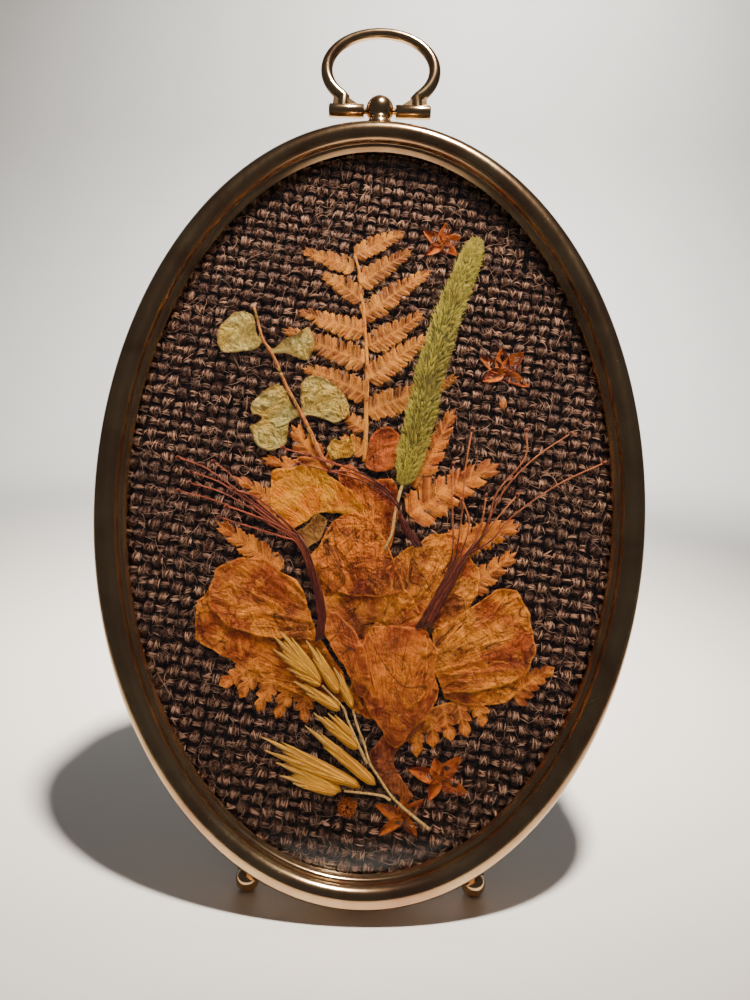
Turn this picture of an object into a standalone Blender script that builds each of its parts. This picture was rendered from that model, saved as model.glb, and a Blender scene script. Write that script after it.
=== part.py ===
"""A small oval standing frame with pressed flowers under domed glass.

Every piece is laid out in the frame's own plane: x to the right, y up the frame and z out of its front, with
z = 0 at the rear edge of the rim. The empty frame_lean leans that plane back, and the whole frame then stands on
the ground at z = 0, facing -Y.
"""

import math

import bmesh
import bpy
from mathutils import Matrix, Vector

MM = 0.001

# Driving dimensions, in metres and radians
LEAN = math.radians(19)
RIM_HALF_WIDTH = 55.7 * MM
RIM_HALF_HEIGHT = 80.8 * MM
RIM_CREST = 11.0 * MM
RIM_ROUND_RADIUS = 2.5 * MM
RIM_SHEET = 0.9 * MM
RIM_STEPS = 48
TAB_COUNT = 6
TAB_SIZE = (3.2 * MM, 4.0 * MM, 0.4 * MM)
TAB_INSET = 1.0 * MM
TAB_HEIGHT = 0.3 * MM

GLASS_HALF_WIDTH = 50.8 * MM
GLASS_HALF_HEIGHT = 76.2 * MM
GLASS_THICKNESS = 1.35 * MM
GLASS_EDGE = 5.15 * MM
DOME_RISE = 6.0 * MM
GLASS_STEPS = 32

BOARD_INSET = 2.3 * MM
BOARD_STEPS = 40
BACK_LOW, BACK_THICKNESS = 0.8 * MM, 1.2 * MM
CARD_LOW, CARD_THICKNESS = 2.3 * MM, 1.0 * MM
BURLAP_LOW, BURLAP_THICKNESS = 3.6 * MM, 1.0 * MM

PLANT_LOW = 4.9 * MM
LAYER_PITCH = 0.5 * MM
PLANT_THICKNESS = 0.22 * MM

FOOT_RADIUS = 2.4 * MM
FOOT_SPREAD = 22.5 * MM
FOOT_HEIGHT = -78.0 * MM
FOOT_DEPTH = -1.5 * MM
FOOT_FLAT = 0.2 * MM
LUG_SIZE = (4.0 * MM, 8.5 * MM, 0.8 * MM)
LUG_HEIGHT = -74.0 * MM
LUG_DEPTH = -0.7 * MM

HINGE_HEIGHT = 26.0 * MM
HINGE_DEPTH = -1.6 * MM
HINGE_PIN_RADIUS = 0.8 * MM
KNUCKLE_BORE = 1.1 * MM
KNUCKLE_RADIUS = 1.7 * MM
KNUCKLE_INNER, KNUCKLE_OUTER = 4.5 * MM, 8.3 * MM
MIDDLE_KNUCKLE_HALF_WIDTH = 4.1 * MM
HINGE_PIN_HALF_LENGTH = 9.2 * MM
HINGE_LEAF_SIZE = (17.0 * MM, 14.0 * MM, 0.8 * MM)
HINGE_LEAF_RISE = 9.2 * MM
HINGE_WEB_SIZE = (3.4 * MM, 4.0 * MM, 0.7 * MM)
HINGE_WEB_RISE = 1.9 * MM
HINGE_PLATE_DEPTH = -0.1 * MM
STRUT_LEAF_SIZE = (14.0 * MM, 12.0 * MM, 0.6 * MM)
STRUT_LEAF_DROP = 9.0 * MM
LEAF_NECK_SIZE = (8.0 * MM, 5.0 * MM, 0.5 * MM)
LEAF_NECK_DROP = 2.4 * MM
STRUT_LEAF_DEPTH = 1.15 * MM
STRUT_OPEN = math.radians(33)
STRUT_TOP_WIDTH = 16.0 * MM
STRUT_FOOT_WIDTH = 29.0 * MM
STRUT_THICKNESS = 1.6 * MM
STRUT_TOP_DROP = 2.7 * MM
STRUT_CORNER = 2.0 * MM
STRUT_DEPTH = -1.2 * MM

RING_HEIGHT = 85.6 * MM
RING_DEPTH = 5.0 * MM
STUD_BALL_RADIUS = 3.1 * MM
STUD_BALL_HEIGHT = 86.0 * MM
STUD_FOOT_HEIGHT = RIM_HALF_HEIGHT - 0.05 * MM
STUD_BASE_RADIUS = 3.1 * MM
STUD_BORE = 1.1 * MM
RING_PIN_RADIUS = 0.75 * MM
RING_BAR_RADIUS = 1.55 * MM
RING_BAR_INNER = 3.5 * MM
RING_BAR_OUTER = 11.3 * MM
RING_WEB = [(3.9, 0.6), (10.6, 0.6), (10.2, 4.0), (8.0, 3.6)]
RING_WEB_THICKNESS = 1.4 * MM
RING_WIRE_RADIUS = 1.38 * MM
RING_TOP_SHARE = 0.85
RING_LOOP_HALF_WIDTH = 12.1 * MM
RING_LOOP_HALF_HEIGHT = 9.15 * MM
RING_LOOP_HEIGHT = 95.7 * MM
RING_LOOP_TOP = RING_LOOP_HEIGHT + RING_LOOP_HALF_HEIGHT - RING_HEIGHT
RING_LOOP_START, RING_LOOP_END = math.radians(-48), math.radians(228)
RING_WIRE_END = (8.3 * MM, 0.4 * MM)
RING_LOOP_POINTS = 17


# ---------------------------------------------------------------- scene and objects


def clear_scene():
    for obj in list(bpy.data.objects):
        bpy.data.objects.remove(obj, do_unlink=True)


def new_collection(name):
    collection = bpy.data.collections.new(name)
    bpy.context.scene.collection.children.link(collection)
    return collection


clear_scene()
PARTS = new_collection("pressed_flower_frame")
HELPERS = new_collection("construction_helpers")


def new_empty(name, parent=None, place=(0, 0, 0), turn=0.0):
    """An empty at a place, turned about X."""
    empty = bpy.data.objects.new(name, None)
    empty.location = place
    empty.rotation_euler = (turn, 0, 0)
    empty.parent = parent
    PARTS.objects.link(empty)
    return empty


FRAME = new_empty("frame_lean", turn=math.radians(90) - LEAN)
STRUT_PIVOT = new_empty("strut_pivot", FRAME, (0, HINGE_HEIGHT, HINGE_DEPTH), STRUT_OPEN)
RING_PIVOT = new_empty("ring_pivot", FRAME, (0, RING_HEIGHT, RING_DEPTH))


def material(name, colour, roughness=0.7, metallic=0.0):
    found = bpy.data.materials.get(name)
    if found:
        return found
    made = bpy.data.materials.new(name)
    made.use_nodes = True
    shader = made.node_tree.nodes["Principled BSDF"]
    shader.inputs["Base Color"].default_value = (*colour, 1)
    shader.inputs["Roughness"].default_value = roughness
    shader.inputs["Metallic"].default_value = metallic
    made.diffuse_color = (*colour, 1)
    return made


def add_object(name, data, look, parent, helper=False):
    obj = bpy.data.objects.new(name, data)
    (HELPERS if helper else PARTS).objects.link(obj)
    obj.parent = parent
    obj.hide_render = helper
    if helper:
        obj.display_type = "WIRE"
    if look:
        data.materials.append(look)
    return obj


def add_mesh(name, bm, look, parent=FRAME, helper=False):
    mesh = bpy.data.meshes.new(name)
    bm.to_mesh(mesh)
    bm.free()
    return add_object(name, mesh, look, parent, helper)


def shade_round(obj, sharp_angle=math.radians(40)):
    obj.data.shade_smooth()
    obj.data.set_sharp_from_angle(angle=sharp_angle)


def union_with(obj, other):
    joint = obj.modifiers.new("join_" + other.name, "BOOLEAN")
    joint.operation = "UNION"
    joint.solver = "EXACT"
    joint.object = other


def cut_with(obj, cutter):
    cut = obj.modifiers.new("cut_" + cutter.name, "BOOLEAN")
    cut.operation = "DIFFERENCE"
    cut.solver = "EXACT"
    cut.object = cutter


def box(name, size, centre, look=None, parent=FRAME, helper=False):
    bm = bmesh.new()
    bmesh.ops.create_cube(bm, size=1, matrix=Matrix.Diagonal((*size, 1)))
    obj = add_mesh(name, bm, look, parent, helper)
    obj.location = centre
    return obj


def cross_rod(name, radius, left, right, look=None, parent=FRAME, helper=False, sides=12):
    """A rod along x from left to right, centred on its parent's axis."""
    bm = bmesh.new()
    bmesh.ops.create_cone(
        bm, cap_ends=True, segments=sides, radius1=radius, radius2=radius, depth=right - left
    )
    bmesh.ops.rotate(bm, verts=bm.verts, matrix=Matrix.Rotation(math.radians(90), 3, "Y"))
    bmesh.ops.translate(bm, verts=bm.verts, vec=((left + right) / 2, 0, 0))
    return add_mesh(name, bm, look, parent, helper)


# ---------------------------------------------------------------- outlines and curves


def in_metres(points):
    return [(x * MM, y * MM) for x, y in points]


def ellipse(half_width, half_height, steps, centre=(0, 0), start=0.0, end=2 * math.pi):
    """Points of an ellipse, or of the stretch of it from start to end."""
    whole = abs(end - start - 2 * math.pi) < 1e-9
    turns = [start + (end - start) * i / (steps if whole else steps - 1) for i in range(steps)]
    return [
        (centre[0] + half_width * math.cos(turn), centre[1] + half_height * math.sin(turn))
        for turn in turns
    ]


def rounded(points, cuts=1):
    """A closed outline with its hand-placed points joined by a smooth Catmull-Rom curve."""
    count = len(points)
    smooth = []
    for i in range(count):
        before, here, after, beyond = (Vector(points[(i + k) % count]) for k in (-1, 0, 1, 2))
        for step in range(cuts):
            t = step / cuts
            place = 0.5 * (
                2 * here
                + (after - before) * t
                + (2 * before - 5 * here + 4 * after - beyond) * t**2
                + (3 * here - before - 3 * after + beyond) * t**3
            )
            smooth.append((place.x, place.y))
    return smooth


def poly_curve(name, points, look, parent, cyclic=False, helper=False, dimensions="3D"):
    """A curve object through points, each (x, y), (x, y, z) or (x, y, z, radius)."""
    curve = bpy.data.curves.new(name, "CURVE")
    curve.dimensions = dimensions
    spline = curve.splines.new("POLY")
    spline.points.add(len(points) - 1)
    for place, point in zip(spline.points, points):
        x, y, z, radius = (*point, 0, 1)[:4] if len(point) < 4 else point
        place.co = (x, y, z, 1)
        place.radius = radius
    spline.use_cyclic_u = cyclic
    return add_object(name, curve, look, parent, helper)


def plate(name, outline, low, thickness, look, parent=FRAME, helper=False):
    """A flat piece: an outline in metres, as thick as stated, with its rear face at z = low.

    The curve itself is drawn in millimetres and scaled down, because filling an outline merges points that are
    less than about 0.00003 units apart.
    """
    drawn = [(x / MM, y / MM) for x, y in outline]
    obj = poly_curve(name, drawn, look, parent, cyclic=True, helper=helper, dimensions="2D")
    obj.data.fill_mode = "BOTH"
    obj.data.extrude = thickness / 2 / MM
    obj.scale = (MM, MM, MM)
    obj.location.z = low + thickness / 2
    return obj


def made_mesh(curve_object):
    """Takes the place of a curve object with the mesh that Blender makes from it, its caps welded."""
    name, parent, helper = curve_object.name, curve_object.parent, curve_object.hide_render
    place, scale = curve_object.location.copy(), curve_object.scale.copy()
    graph = bpy.context.evaluated_depsgraph_get()
    mesh = bpy.data.meshes.new_from_object(curve_object.evaluated_get(graph))
    bm = bmesh.new()
    bm.from_mesh(mesh)
    bmesh.ops.scale(bm, verts=bm.verts, vec=scale)
    bmesh.ops.remove_doubles(bm, verts=bm.verts, dist=1e-6)
    bmesh.ops.recalc_face_normals(bm, faces=bm.faces)
    bm.to_mesh(mesh)
    bm.free()
    bpy.data.objects.remove(curve_object, do_unlink=True)
    obj = add_object(name, mesh, None, parent, helper)
    obj.location = place
    return obj


# ---------------------------------------------------------------- colours

BRASS = material("aged_brass", (0.45, 0.31, 0.13), 0.35, 1.0)
STEEL = material("hinge_steel", (0.4, 0.37, 0.32), 0.4, 1.0)
GLASS = material("clear_glass", (0.9, 0.95, 0.93), 0.02)
CLOTH = material("burlap_brown", (0.09, 0.05, 0.03), 0.95)
CARD = material("grey_card", (0.35, 0.3, 0.24), 0.9)
BACKING = material("black_backing", (0.02, 0.018, 0.016), 0.8)
FERN = material("rust_fern", (0.38, 0.12, 0.025), 0.85)
GOLD_FERN = material("gold_fern", (0.5, 0.22, 0.05), 0.85)
RUST_PETAL = material("rust_petal", (0.42, 0.11, 0.02), 0.7)
GOLD_PETAL = material("gold_petal", (0.7, 0.33, 0.05), 0.7)
PLUM_PETAL = material("plum_petal", (0.2, 0.05, 0.03), 0.7)
RED_PETAL = material("red_petal", (0.35, 0.05, 0.01), 0.7)
YELLOW_PETAL = material("yellow_petal", (0.65, 0.45, 0.1), 0.7)
OLIVE_LEAF = material("olive_leaf", (0.2, 0.13, 0.05), 0.8)
PALE_GREEN = material("pale_green_leaflet", (0.5, 0.47, 0.16), 0.8)
GRASS_GREEN = material("grass_green", (0.3, 0.3, 0.06), 0.85)
FILAMENT = material("dark_filament", (0.12, 0.025, 0.02), 0.6)
STRAW = material("straw", (0.5, 0.33, 0.14), 0.8)
CREAM = material("cream_flower", (0.6, 0.45, 0.25), 0.85)
DARK_SEED = material("dark_seed", (0.1, 0.04, 0.02), 0.6)


# ---------------------------------------------------------------- rim, glass and boards


def rim_profile():
    """The rim's cross-section as (inset from the outer oval, z), from the outer foot over the top and back."""
    centre = RIM_CREST - RIM_ROUND_RADIUS
    inner_radius = RIM_ROUND_RADIUS - RIM_SHEET
    outside = [(0.9 * MM, 0.0), (0.45 * MM, 4.5 * MM)]
    for degrees in (200, 170, 140, 110, 80, 48, 14):
        turn = math.radians(degrees)
        across = RIM_ROUND_RADIUS + RIM_ROUND_RADIUS * math.cos(turn)
        outside.append((across, centre + RIM_ROUND_RADIUS * math.sin(turn)))
    step = [(5.03 * MM, 8.65 * MM), (5.4 * MM, 8.6 * MM)]
    lip = [(6.3 * MM, 7.45 * MM), (6.15 * MM, 7.2 * MM), (5.05 * MM, 7.5 * MM)]
    inside = []
    for degrees in (20, 75, 130, 190):
        turn = math.radians(degrees)
        across = RIM_ROUND_RADIUS + inner_radius * math.cos(turn)
        inside.append((across, centre + inner_radius * math.sin(turn)))
    inside += [(1.35 * MM, 4.5 * MM), (1.8 * MM, 0.0)]
    return outside + step + lip + inside


def make_bezel():
    profile = poly_curve(
        "rim_profile", rim_profile(), None, FRAME, cyclic=True, helper=True, dimensions="2D"
    )
    oval = ellipse(RIM_HALF_WIDTH, RIM_HALF_HEIGHT, RIM_STEPS)
    bezel = poly_curve("bezel", oval, BRASS, FRAME, cyclic=True, dimensions="2D")
    bezel.data.bevel_mode = "OBJECT"
    bezel.data.bevel_object = profile
    bezel = made_mesh(bezel)
    bpy.data.objects.remove(profile, do_unlink=True)
    shade_round(bezel)
    for index in range(TAB_COUNT):
        union_with(bezel, make_tab(index))
    return bezel


def make_tab(index):
    """One tab of the rim's rear edge, bent inwards over the back board."""
    turn = 2 * math.pi * (index + 0.5) / TAB_COUNT
    middle = TAB_INSET + TAB_SIZE[0] / 2
    tab = box("tab_%d" % index, TAB_SIZE, (0, 0, 0), BRASS, helper=True)
    across = Vector((RIM_HALF_HEIGHT * math.cos(turn), RIM_HALF_WIDTH * math.sin(turn), 0)).normalized()
    edge = Vector((RIM_HALF_WIDTH * math.cos(turn), RIM_HALF_HEIGHT * math.sin(turn), 0))
    tab.location = edge - across * middle + Vector((0, 0, TAB_HEIGHT))
    tab.rotation_euler = (0, 0, math.atan2(across.y, across.x))
    return tab


def dome_height(share):
    """Height of the glass's inner face above its edge, at this share of the way out from the middle."""
    return DOME_RISE * (1 - share**2)


def make_glass():
    """A turned dome, made oval by its height. The profile runs down the outer face and back along the inner."""
    shares = [0, 0.3, 0.6, 0.85, 1]
    outer = [(s * GLASS_HALF_WIDTH, GLASS_EDGE + GLASS_THICKNESS + dome_height(s)) for s in shares]
    inner = [(s * GLASS_HALF_WIDTH, GLASS_EDGE + dome_height(s)) for s in reversed(shares)]
    glass = turned("convex_glass", outer + inner, GLASS_STEPS, GLASS)
    glass.scale = (1, GLASS_HALF_HEIGHT / GLASS_HALF_WIDTH, 1)
    return glass


def turned(name, profile, steps, look, parent=FRAME):
    """A profile of (radius, z) turned about z. It runs down the outer side, top to bottom."""
    bm = bmesh.new()
    corners = [bm.verts.new((radius, 0, z)) for radius, z in profile]
    for first, second in zip(corners, corners[1:]):
        bm.edges.new((first, second))
    obj = add_mesh(name, bm, look, parent)
    screw = obj.modifiers.new("turn", "SCREW")
    screw.axis = "Z"
    screw.angle = 2 * math.pi
    screw.steps = steps
    screw.render_steps = steps
    screw.use_merge_vertices = True
    screw.merge_threshold = 1e-6
    screw.use_smooth_shade = True
    return obj


def make_boards():
    half_width = RIM_HALF_WIDTH - BOARD_INSET
    half_height = RIM_HALF_HEIGHT - BOARD_INSET
    oval = ellipse(half_width, half_height, BOARD_STEPS)
    plate("back_board", oval, BACK_LOW, BACK_THICKNESS, BACKING)
    plate("mount_card", oval, CARD_LOW, CARD_THICKNESS, CARD)
    plate("burlap", oval, BURLAP_LOW, BURLAP_THICKNESS, CLOTH)


# ---------------------------------------------------------------- feet, strut and hanging ring


def ground_normal():
    """The direction of the ground's upward normal in the frame's own axes."""
    return Vector((0, math.cos(LEAN), math.sin(LEAN)))


def make_foot(name, x):
    """A ball with a small level flat, on a lug that reaches up behind the rim."""
    bm = bmesh.new()
    bmesh.ops.create_uvsphere(bm, u_segments=12, v_segments=8, radius=FOOT_RADIUS)
    up = ground_normal()
    cut = bmesh.ops.bisect_plane(
        bm,
        geom=list(bm.verts) + list(bm.edges) + list(bm.faces),
        plane_co=-up * (FOOT_RADIUS - FOOT_FLAT),
        plane_no=-up,
        clear_outer=True,
    )
    rim = [part for part in cut["geom_cut"] if isinstance(part, bmesh.types.BMEdge)]
    bmesh.ops.holes_fill(bm, edges=rim, sides=0)
    foot = add_mesh(name, bm, BRASS)
    foot.location = (x, FOOT_HEIGHT, FOOT_DEPTH)
    shade_round(foot)
    lug = box(name + "_lug", LUG_SIZE, (x, LUG_HEIGHT, LUG_DEPTH), BRASS, helper=True)
    union_with(foot, lug)
    return foot


def knuckle(name, left, right, look, parent, place, helper=False):
    obj = cross_rod(name, KNUCKLE_RADIUS, left, right, look, parent, helper)
    obj.location = place
    return obj


def knuckle_bore(name, parent, place):
    overrun = 2 * HINGE_PIN_HALF_LENGTH
    bore = cross_rod(name, KNUCKLE_BORE, -overrun, overrun, None, parent, helper=True)
    bore.location = place
    return bore


def make_hinge():
    """A fixed leaf with two knuckles, its pin, and the strut's leaf with the middle knuckle."""
    axis = (0, HINGE_HEIGHT, HINGE_DEPTH)
    leaf_centre = (0, HINGE_HEIGHT + HINGE_LEAF_RISE, HINGE_PLATE_DEPTH)
    leaf = box("hinge_leaf", HINGE_LEAF_SIZE, leaf_centre, STEEL)
    for side, name in ((-1, "knuckle_left"), (1, "knuckle_right")):
        ends = sorted((side * KNUCKLE_INNER, side * KNUCKLE_OUTER))
        union_with(leaf, knuckle(name, *ends, STEEL, FRAME, axis, helper=True))
        across = side * (KNUCKLE_INNER + KNUCKLE_OUTER) / 2
        web_centre = (across, HINGE_HEIGHT + HINGE_WEB_RISE, HINGE_PLATE_DEPTH)
        union_with(leaf, box(name + "_web", HINGE_WEB_SIZE, web_centre, STEEL, helper=True))
    cut_with(leaf, knuckle_bore("fixed_bore", FRAME, axis))

    pin = cross_rod("hinge_pin", HINGE_PIN_RADIUS, -HINGE_PIN_HALF_LENGTH, HINGE_PIN_HALF_LENGTH, STEEL)
    pin.location = axis
    shade_round(pin)

    moving = box("strut_leaf", STRUT_LEAF_SIZE, (0, -STRUT_LEAF_DROP, STRUT_LEAF_DEPTH), STEEL, STRUT_PIVOT)
    half_width = MIDDLE_KNUCKLE_HALF_WIDTH
    middle = knuckle("knuckle_middle", -half_width, half_width, STEEL, STRUT_PIVOT, (0, 0, 0), helper=True)
    neck_centre = (0, -LEAF_NECK_DROP, STRUT_LEAF_DEPTH)
    neck = box("leaf_neck", LEAF_NECK_SIZE, neck_centre, STEEL, STRUT_PIVOT, helper=True)
    for piece in (middle, neck):
        union_with(moving, piece)
    cut_with(moving, knuckle_bore("moving_bore", STRUT_PIVOT, (0, 0, 0)))


def strut_length():
    """The strut's length along itself, from its pivot to the ground that the feet stand on."""
    pivot = Vector((0, HINGE_HEIGHT, HINGE_DEPTH)).dot(ground_normal())
    ground = Vector((0, FOOT_HEIGHT, FOOT_DEPTH)).dot(ground_normal()) - (FOOT_RADIUS - FOOT_FLAT)
    return (pivot - ground) / math.cos(STRUT_OPEN - LEAN)


def make_strut():
    """A tapered leg under the strut's pivot, its foot cut level with the ground."""
    top, length = -STRUT_TOP_DROP, strut_length()
    drawn_foot = -length - 2 * FOOT_RADIUS
    half_top, half_foot = STRUT_TOP_WIDTH / 2, STRUT_FOOT_WIDTH / 2
    outline = [
        (-half_foot, drawn_foot),
        (half_foot, drawn_foot),
        (half_top, top - STRUT_CORNER),
        (half_top - STRUT_CORNER, top),
        (-half_top + STRUT_CORNER, top),
        (-half_top, top - STRUT_CORNER),
    ]
    drawn = plate("easel_strut", outline, STRUT_DEPTH, STRUT_THICKNESS, BACKING, STRUT_PIVOT)
    strut = made_mesh(drawn)
    tilt = STRUT_OPEN - LEAN
    up = Vector((0, math.cos(tilt), -math.sin(tilt)))
    bm = bmesh.new()
    bm.from_mesh(strut.data)
    cut = bmesh.ops.bisect_plane(
        bm,
        geom=list(bm.verts) + list(bm.edges) + list(bm.faces),
        plane_co=Vector((0, 0, -strut.location.z)) - up * length * math.cos(tilt),
        plane_no=-up,
        clear_outer=True,
    )
    rim = [part for part in cut["geom_cut"] if isinstance(part, bmesh.types.BMEdge)]
    bmesh.ops.holes_fill(bm, edges=rim, sides=0)
    bm.to_mesh(strut.data)
    bm.free()


def make_stud():
    """A turned cup, waist and ball on the rim's top, bored across for the ring's pin."""
    foot, ball = STUD_FOOT_HEIGHT, STUD_BALL_HEIGHT
    profile = [(0.0, ball + STUD_BALL_RADIUS)]
    for degrees in (60, 30, 0, -25, -40):
        turn = math.radians(degrees)
        across = STUD_BALL_RADIUS * math.cos(turn)
        profile.append((across, ball + STUD_BALL_RADIUS * math.sin(turn)))
    profile += [(2.5 * MM, foot + 2.7 * MM), (STUD_BASE_RADIUS, foot + 1.6 * MM)]
    profile += [(STUD_BASE_RADIUS, foot), (0.0, foot)]
    stud = turned("ball_stud", profile, 16, BRASS)
    stud.location = (0, 0, RING_DEPTH)
    stud.rotation_euler = (-math.radians(90), 0, 0)
    bore = cross_rod("stud_bore", STUD_BORE, -6 * MM, 6 * MM, None, RING_PIVOT, helper=True)
    cut_with(stud, bore)


def make_ring():
    """The bent wire loop, its two cross bars with webs, and the pin between them, all one piece."""
    loop = ellipse(
        RING_LOOP_HALF_WIDTH,
        RING_LOOP_HALF_HEIGHT,
        RING_LOOP_POINTS,
        (0, RING_LOOP_HEIGHT - RING_HEIGHT),
        RING_LOOP_START,
        RING_LOOP_END,
    )
    loop = [(x, y, 0, 1 - (1 - RING_TOP_SHARE) * max(0, y / RING_LOOP_TOP) ** 2) for x, y in loop]
    right_end = RING_WIRE_END
    left_end = (-RING_WIRE_END[0], RING_WIRE_END[1])
    wire = poly_curve("bail_ring", [right_end, *loop, left_end], BRASS, RING_PIVOT)
    wire.data.bevel_depth = RING_WIRE_RADIUS
    wire.data.bevel_resolution = 2
    wire.data.use_fill_caps = True
    ring = made_mesh(wire)
    shade_round(ring, math.radians(60))
    for side, name in ((-1, "left"), (1, "right")):
        bar_ends = sorted((side * RING_BAR_INNER, side * RING_BAR_OUTER))
        union_with(ring, cross_rod("bar_" + name, RING_BAR_RADIUS, *bar_ends, BRASS, RING_PIVOT, True))
        web = in_metres([(side * x, y) for x, y in RING_WEB])
        web_low = -RING_WEB_THICKNESS / 2
        web_plate = plate("web_" + name, web, web_low, RING_WEB_THICKNESS, BRASS, RING_PIVOT, helper=True)
        union_with(ring, made_mesh(web_plate))
    pin_reach = RING_BAR_INNER + 1 * MM
    union_with(ring, cross_rod("ring_pin", RING_PIN_RADIUS, -pin_reach, pin_reach, BRASS, RING_PIVOT, True, 10))


# ---------------------------------------------------------------- outlines of stems with branches


def side_of_stem(stem, half_width, branches, side):
    """Points up one side of a stem. A branch is (index of the stem's point below it, its own points)."""
    points = []
    for index, here in enumerate(stem):
        before, after = stem[max(index - 1, 0)], stem[min(index + 1, len(stem) - 1)]
        along = (Vector(after) - Vector(before)).normalized()
        width = half_width * (1 - 0.6 * index / len(stem))
        points.append((here[0] + side * along.y * width, here[1] - side * along.x * width))
        for below, edge in branches:
            if below == index:
                points += edge
    return points


def branched(stem, half_width, right, left):
    """One outline, in millimetres, round a stem and out along each of its branches."""
    up = side_of_stem(stem, half_width, right, 1)
    down = side_of_stem(stem, half_width, left, -1)
    return in_metres(up + down[::-1])


WIDEST_SLOPE = 0.7


def pinna(foot, tip, half_width, lobes, side, foot_width=0.45, start=0.5):
    """A lobed side leaf, out along its lower edge and back along its upper one."""
    foot, tip = Vector(foot), Vector(tip)
    along = (tip - foot).normalized()
    lower = Vector((along.y, -along.x)) * side
    length = (tip - foot).length

    def edge_point(share, share_of_width, across):
        distance = start + share * (length - start)
        swell = math.sin(math.pi * min(1.0, share + 0.12) ** 0.8) ** 0.6
        width = max(half_width * swell * share_of_width, foot_width * (1 - share))
        place = foot + along * distance + across * min(width, distance * WIDEST_SLOPE)
        return (place.x, place.y)

    def edge(across):
        points = [edge_point(0, 0.3, across)]
        for lobe in range(lobes):
            points.append(edge_point((lobe + 0.6) / (lobes + 0.4), 1.0, across))
            points.append(edge_point((lobe + 0.95) / (lobes + 0.4), 0.5, across))
        return points

    return edge(lower) + [(tip.x, tip.y)] + edge(-lower)[::-1]


def blade(foot, tip, half_width, side, start=0.35):
    """A narrow pointed blade, such as a spikelet or a petal of a small flower."""
    foot, tip = Vector(foot), Vector(tip)
    along = (tip - foot).normalized()
    lower = Vector((along.y, -along.x)) * side
    length = (tip - foot).length
    shape = [(start / length, 0.35), (0.35, 1.0), (0.7, 0.75)]
    out = [foot + along * length * share + lower * half_width * width for share, width in shape]
    back = [foot + along * length * share - lower * half_width * width for share, width in shape]
    return [(place.x, place.y) for place in [*out, tip, *reversed(back)]]


def filament(route, half_width, side):
    """A thin thread along a route: out along its lower side and back along its upper one."""
    out, back = [], []
    for index, here in enumerate(route):
        before, after = route[max(index - 1, 0)], route[min(index + 1, len(route) - 1)]
        along = (Vector(after) - Vector(before)).normalized()
        lower = Vector((along.y, -along.x)) * side * half_width
        out.append((here[0] + lower.x, here[1] + lower.y))
        back.append((here[0] - lower.x, here[1] - lower.y))
    return out + back[::-1]


def plant(name, outline, layer, look, thickness=PLANT_THICKNESS):
    return made_mesh(plate(name, outline, PLANT_LOW + layer * LAYER_PITCH, thickness, look))


# ---------------------------------------------------------------- ferns


def frond_outline():
    """The upright frond. Its side leaves are (stem point below, foot, tip, half width, lobes)."""
    stem = [
        (-1.3, 6.0), (-1.2, 9.6), (-1.2, 14.6), (-1.3, 18.4), (-1.2, 21.6), (-1.3, 25.8),
        (-1.5, 29.2), (-1.8, 32.4), (-2.1, 35.6), (-2.5, 39.6), (-3.0, 42.6), (-3.4, 46.6), (-4.3, 50.4),
    ]
    right = [
        (2, (-1.1, 16.8), (17.5, 24.5), 2.0, 5),
        (4, (-1.0, 23.6), (11.2, 33.4), 2.0, 5),
        (6, (-1.4, 30.8), (10.1, 38.4), 1.9, 5),
        (8, (-2.4, 37.4), (11.7, 48.0), 2.0, 6),
        (10, (-3.3, 44.6), (7.6, 52.6), 1.9, 5),
        (12, (-4.5, 51.2), (5.9, 56.6), 1.7, 4),
    ]
    left = [
        (0, (-1.5, 8.0), (-6.6, 11.0), 1.5, 2),
        (1, (-1.6, 12.6), (-6.2, 16.6), 1.3, 2),
        (3, (-1.3, 20.2), (-14.7, 25.6), 2.0, 5),
        (5, (-1.7, 27.3), (-19.0, 34.1), 2.0, 6),
        (7, (-2.2, 34.0), (-16.2, 38.3), 1.8, 5),
        (9, (-3.0, 41.0), (-11.5, 46.8), 1.6, 4),
        (11, (-4.6, 48.3), (-15.9, 51.9), 1.5, 5),
    ]
    return branched(stem, 0.45, side_leaves(right, 1), side_leaves(left, -1))


# Each spray is its stem, then its side leaves as (stem point below, foot, tip, half width, lobes), right and left.
FERN_SPRAYS = {
    "fern_lower_right": (
        [(7.4, -44.6), (10.9, -44.6), (13.8, -43.4), (16.8, -42.4), (19.9, -41.8), (23.6, -41.4), (28.6, -41.0)],
        [(0, (9.4, -44.7), (10.4, -52.8), 1.6, 3), (1, (12.4, -44.1), (13.6, -51.0), 1.5, 3),
         (2, (15.4, -43.0), (17.2, -49.6), 1.6, 3), (3, (18.4, -42.2), (20.4, -48.8), 1.5, 3),
         (4, (21.6, -41.7), (23.4, -46.9), 1.4, 2), (6, (29.2, -40.7), (37.3, -35.1), 1.9, 5)],
        [],
    ),
    "fern_lower_left": (
        [(-10.0, -41.5), (-13.3, -40.2), (-16.2, -38.7), (-19.2, -37.4), (-22.4, -36.6), (-24.0, -36.6)],
        [],
        [(0, (-11.8, -41.0), (-11.4, -46.8), 1.4, 3), (1, (-14.8, -39.6), (-17.4, -46.1), 1.4, 3),
         (2, (-17.7, -38.2), (-21.1, -44.8), 1.5, 3), (3, (-20.7, -37.1), (-24.8, -42.3), 1.5, 3),
         (4, (-23.5, -36.8), (-28.8, -40.0), 1.5, 3)],
    ),
}

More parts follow.
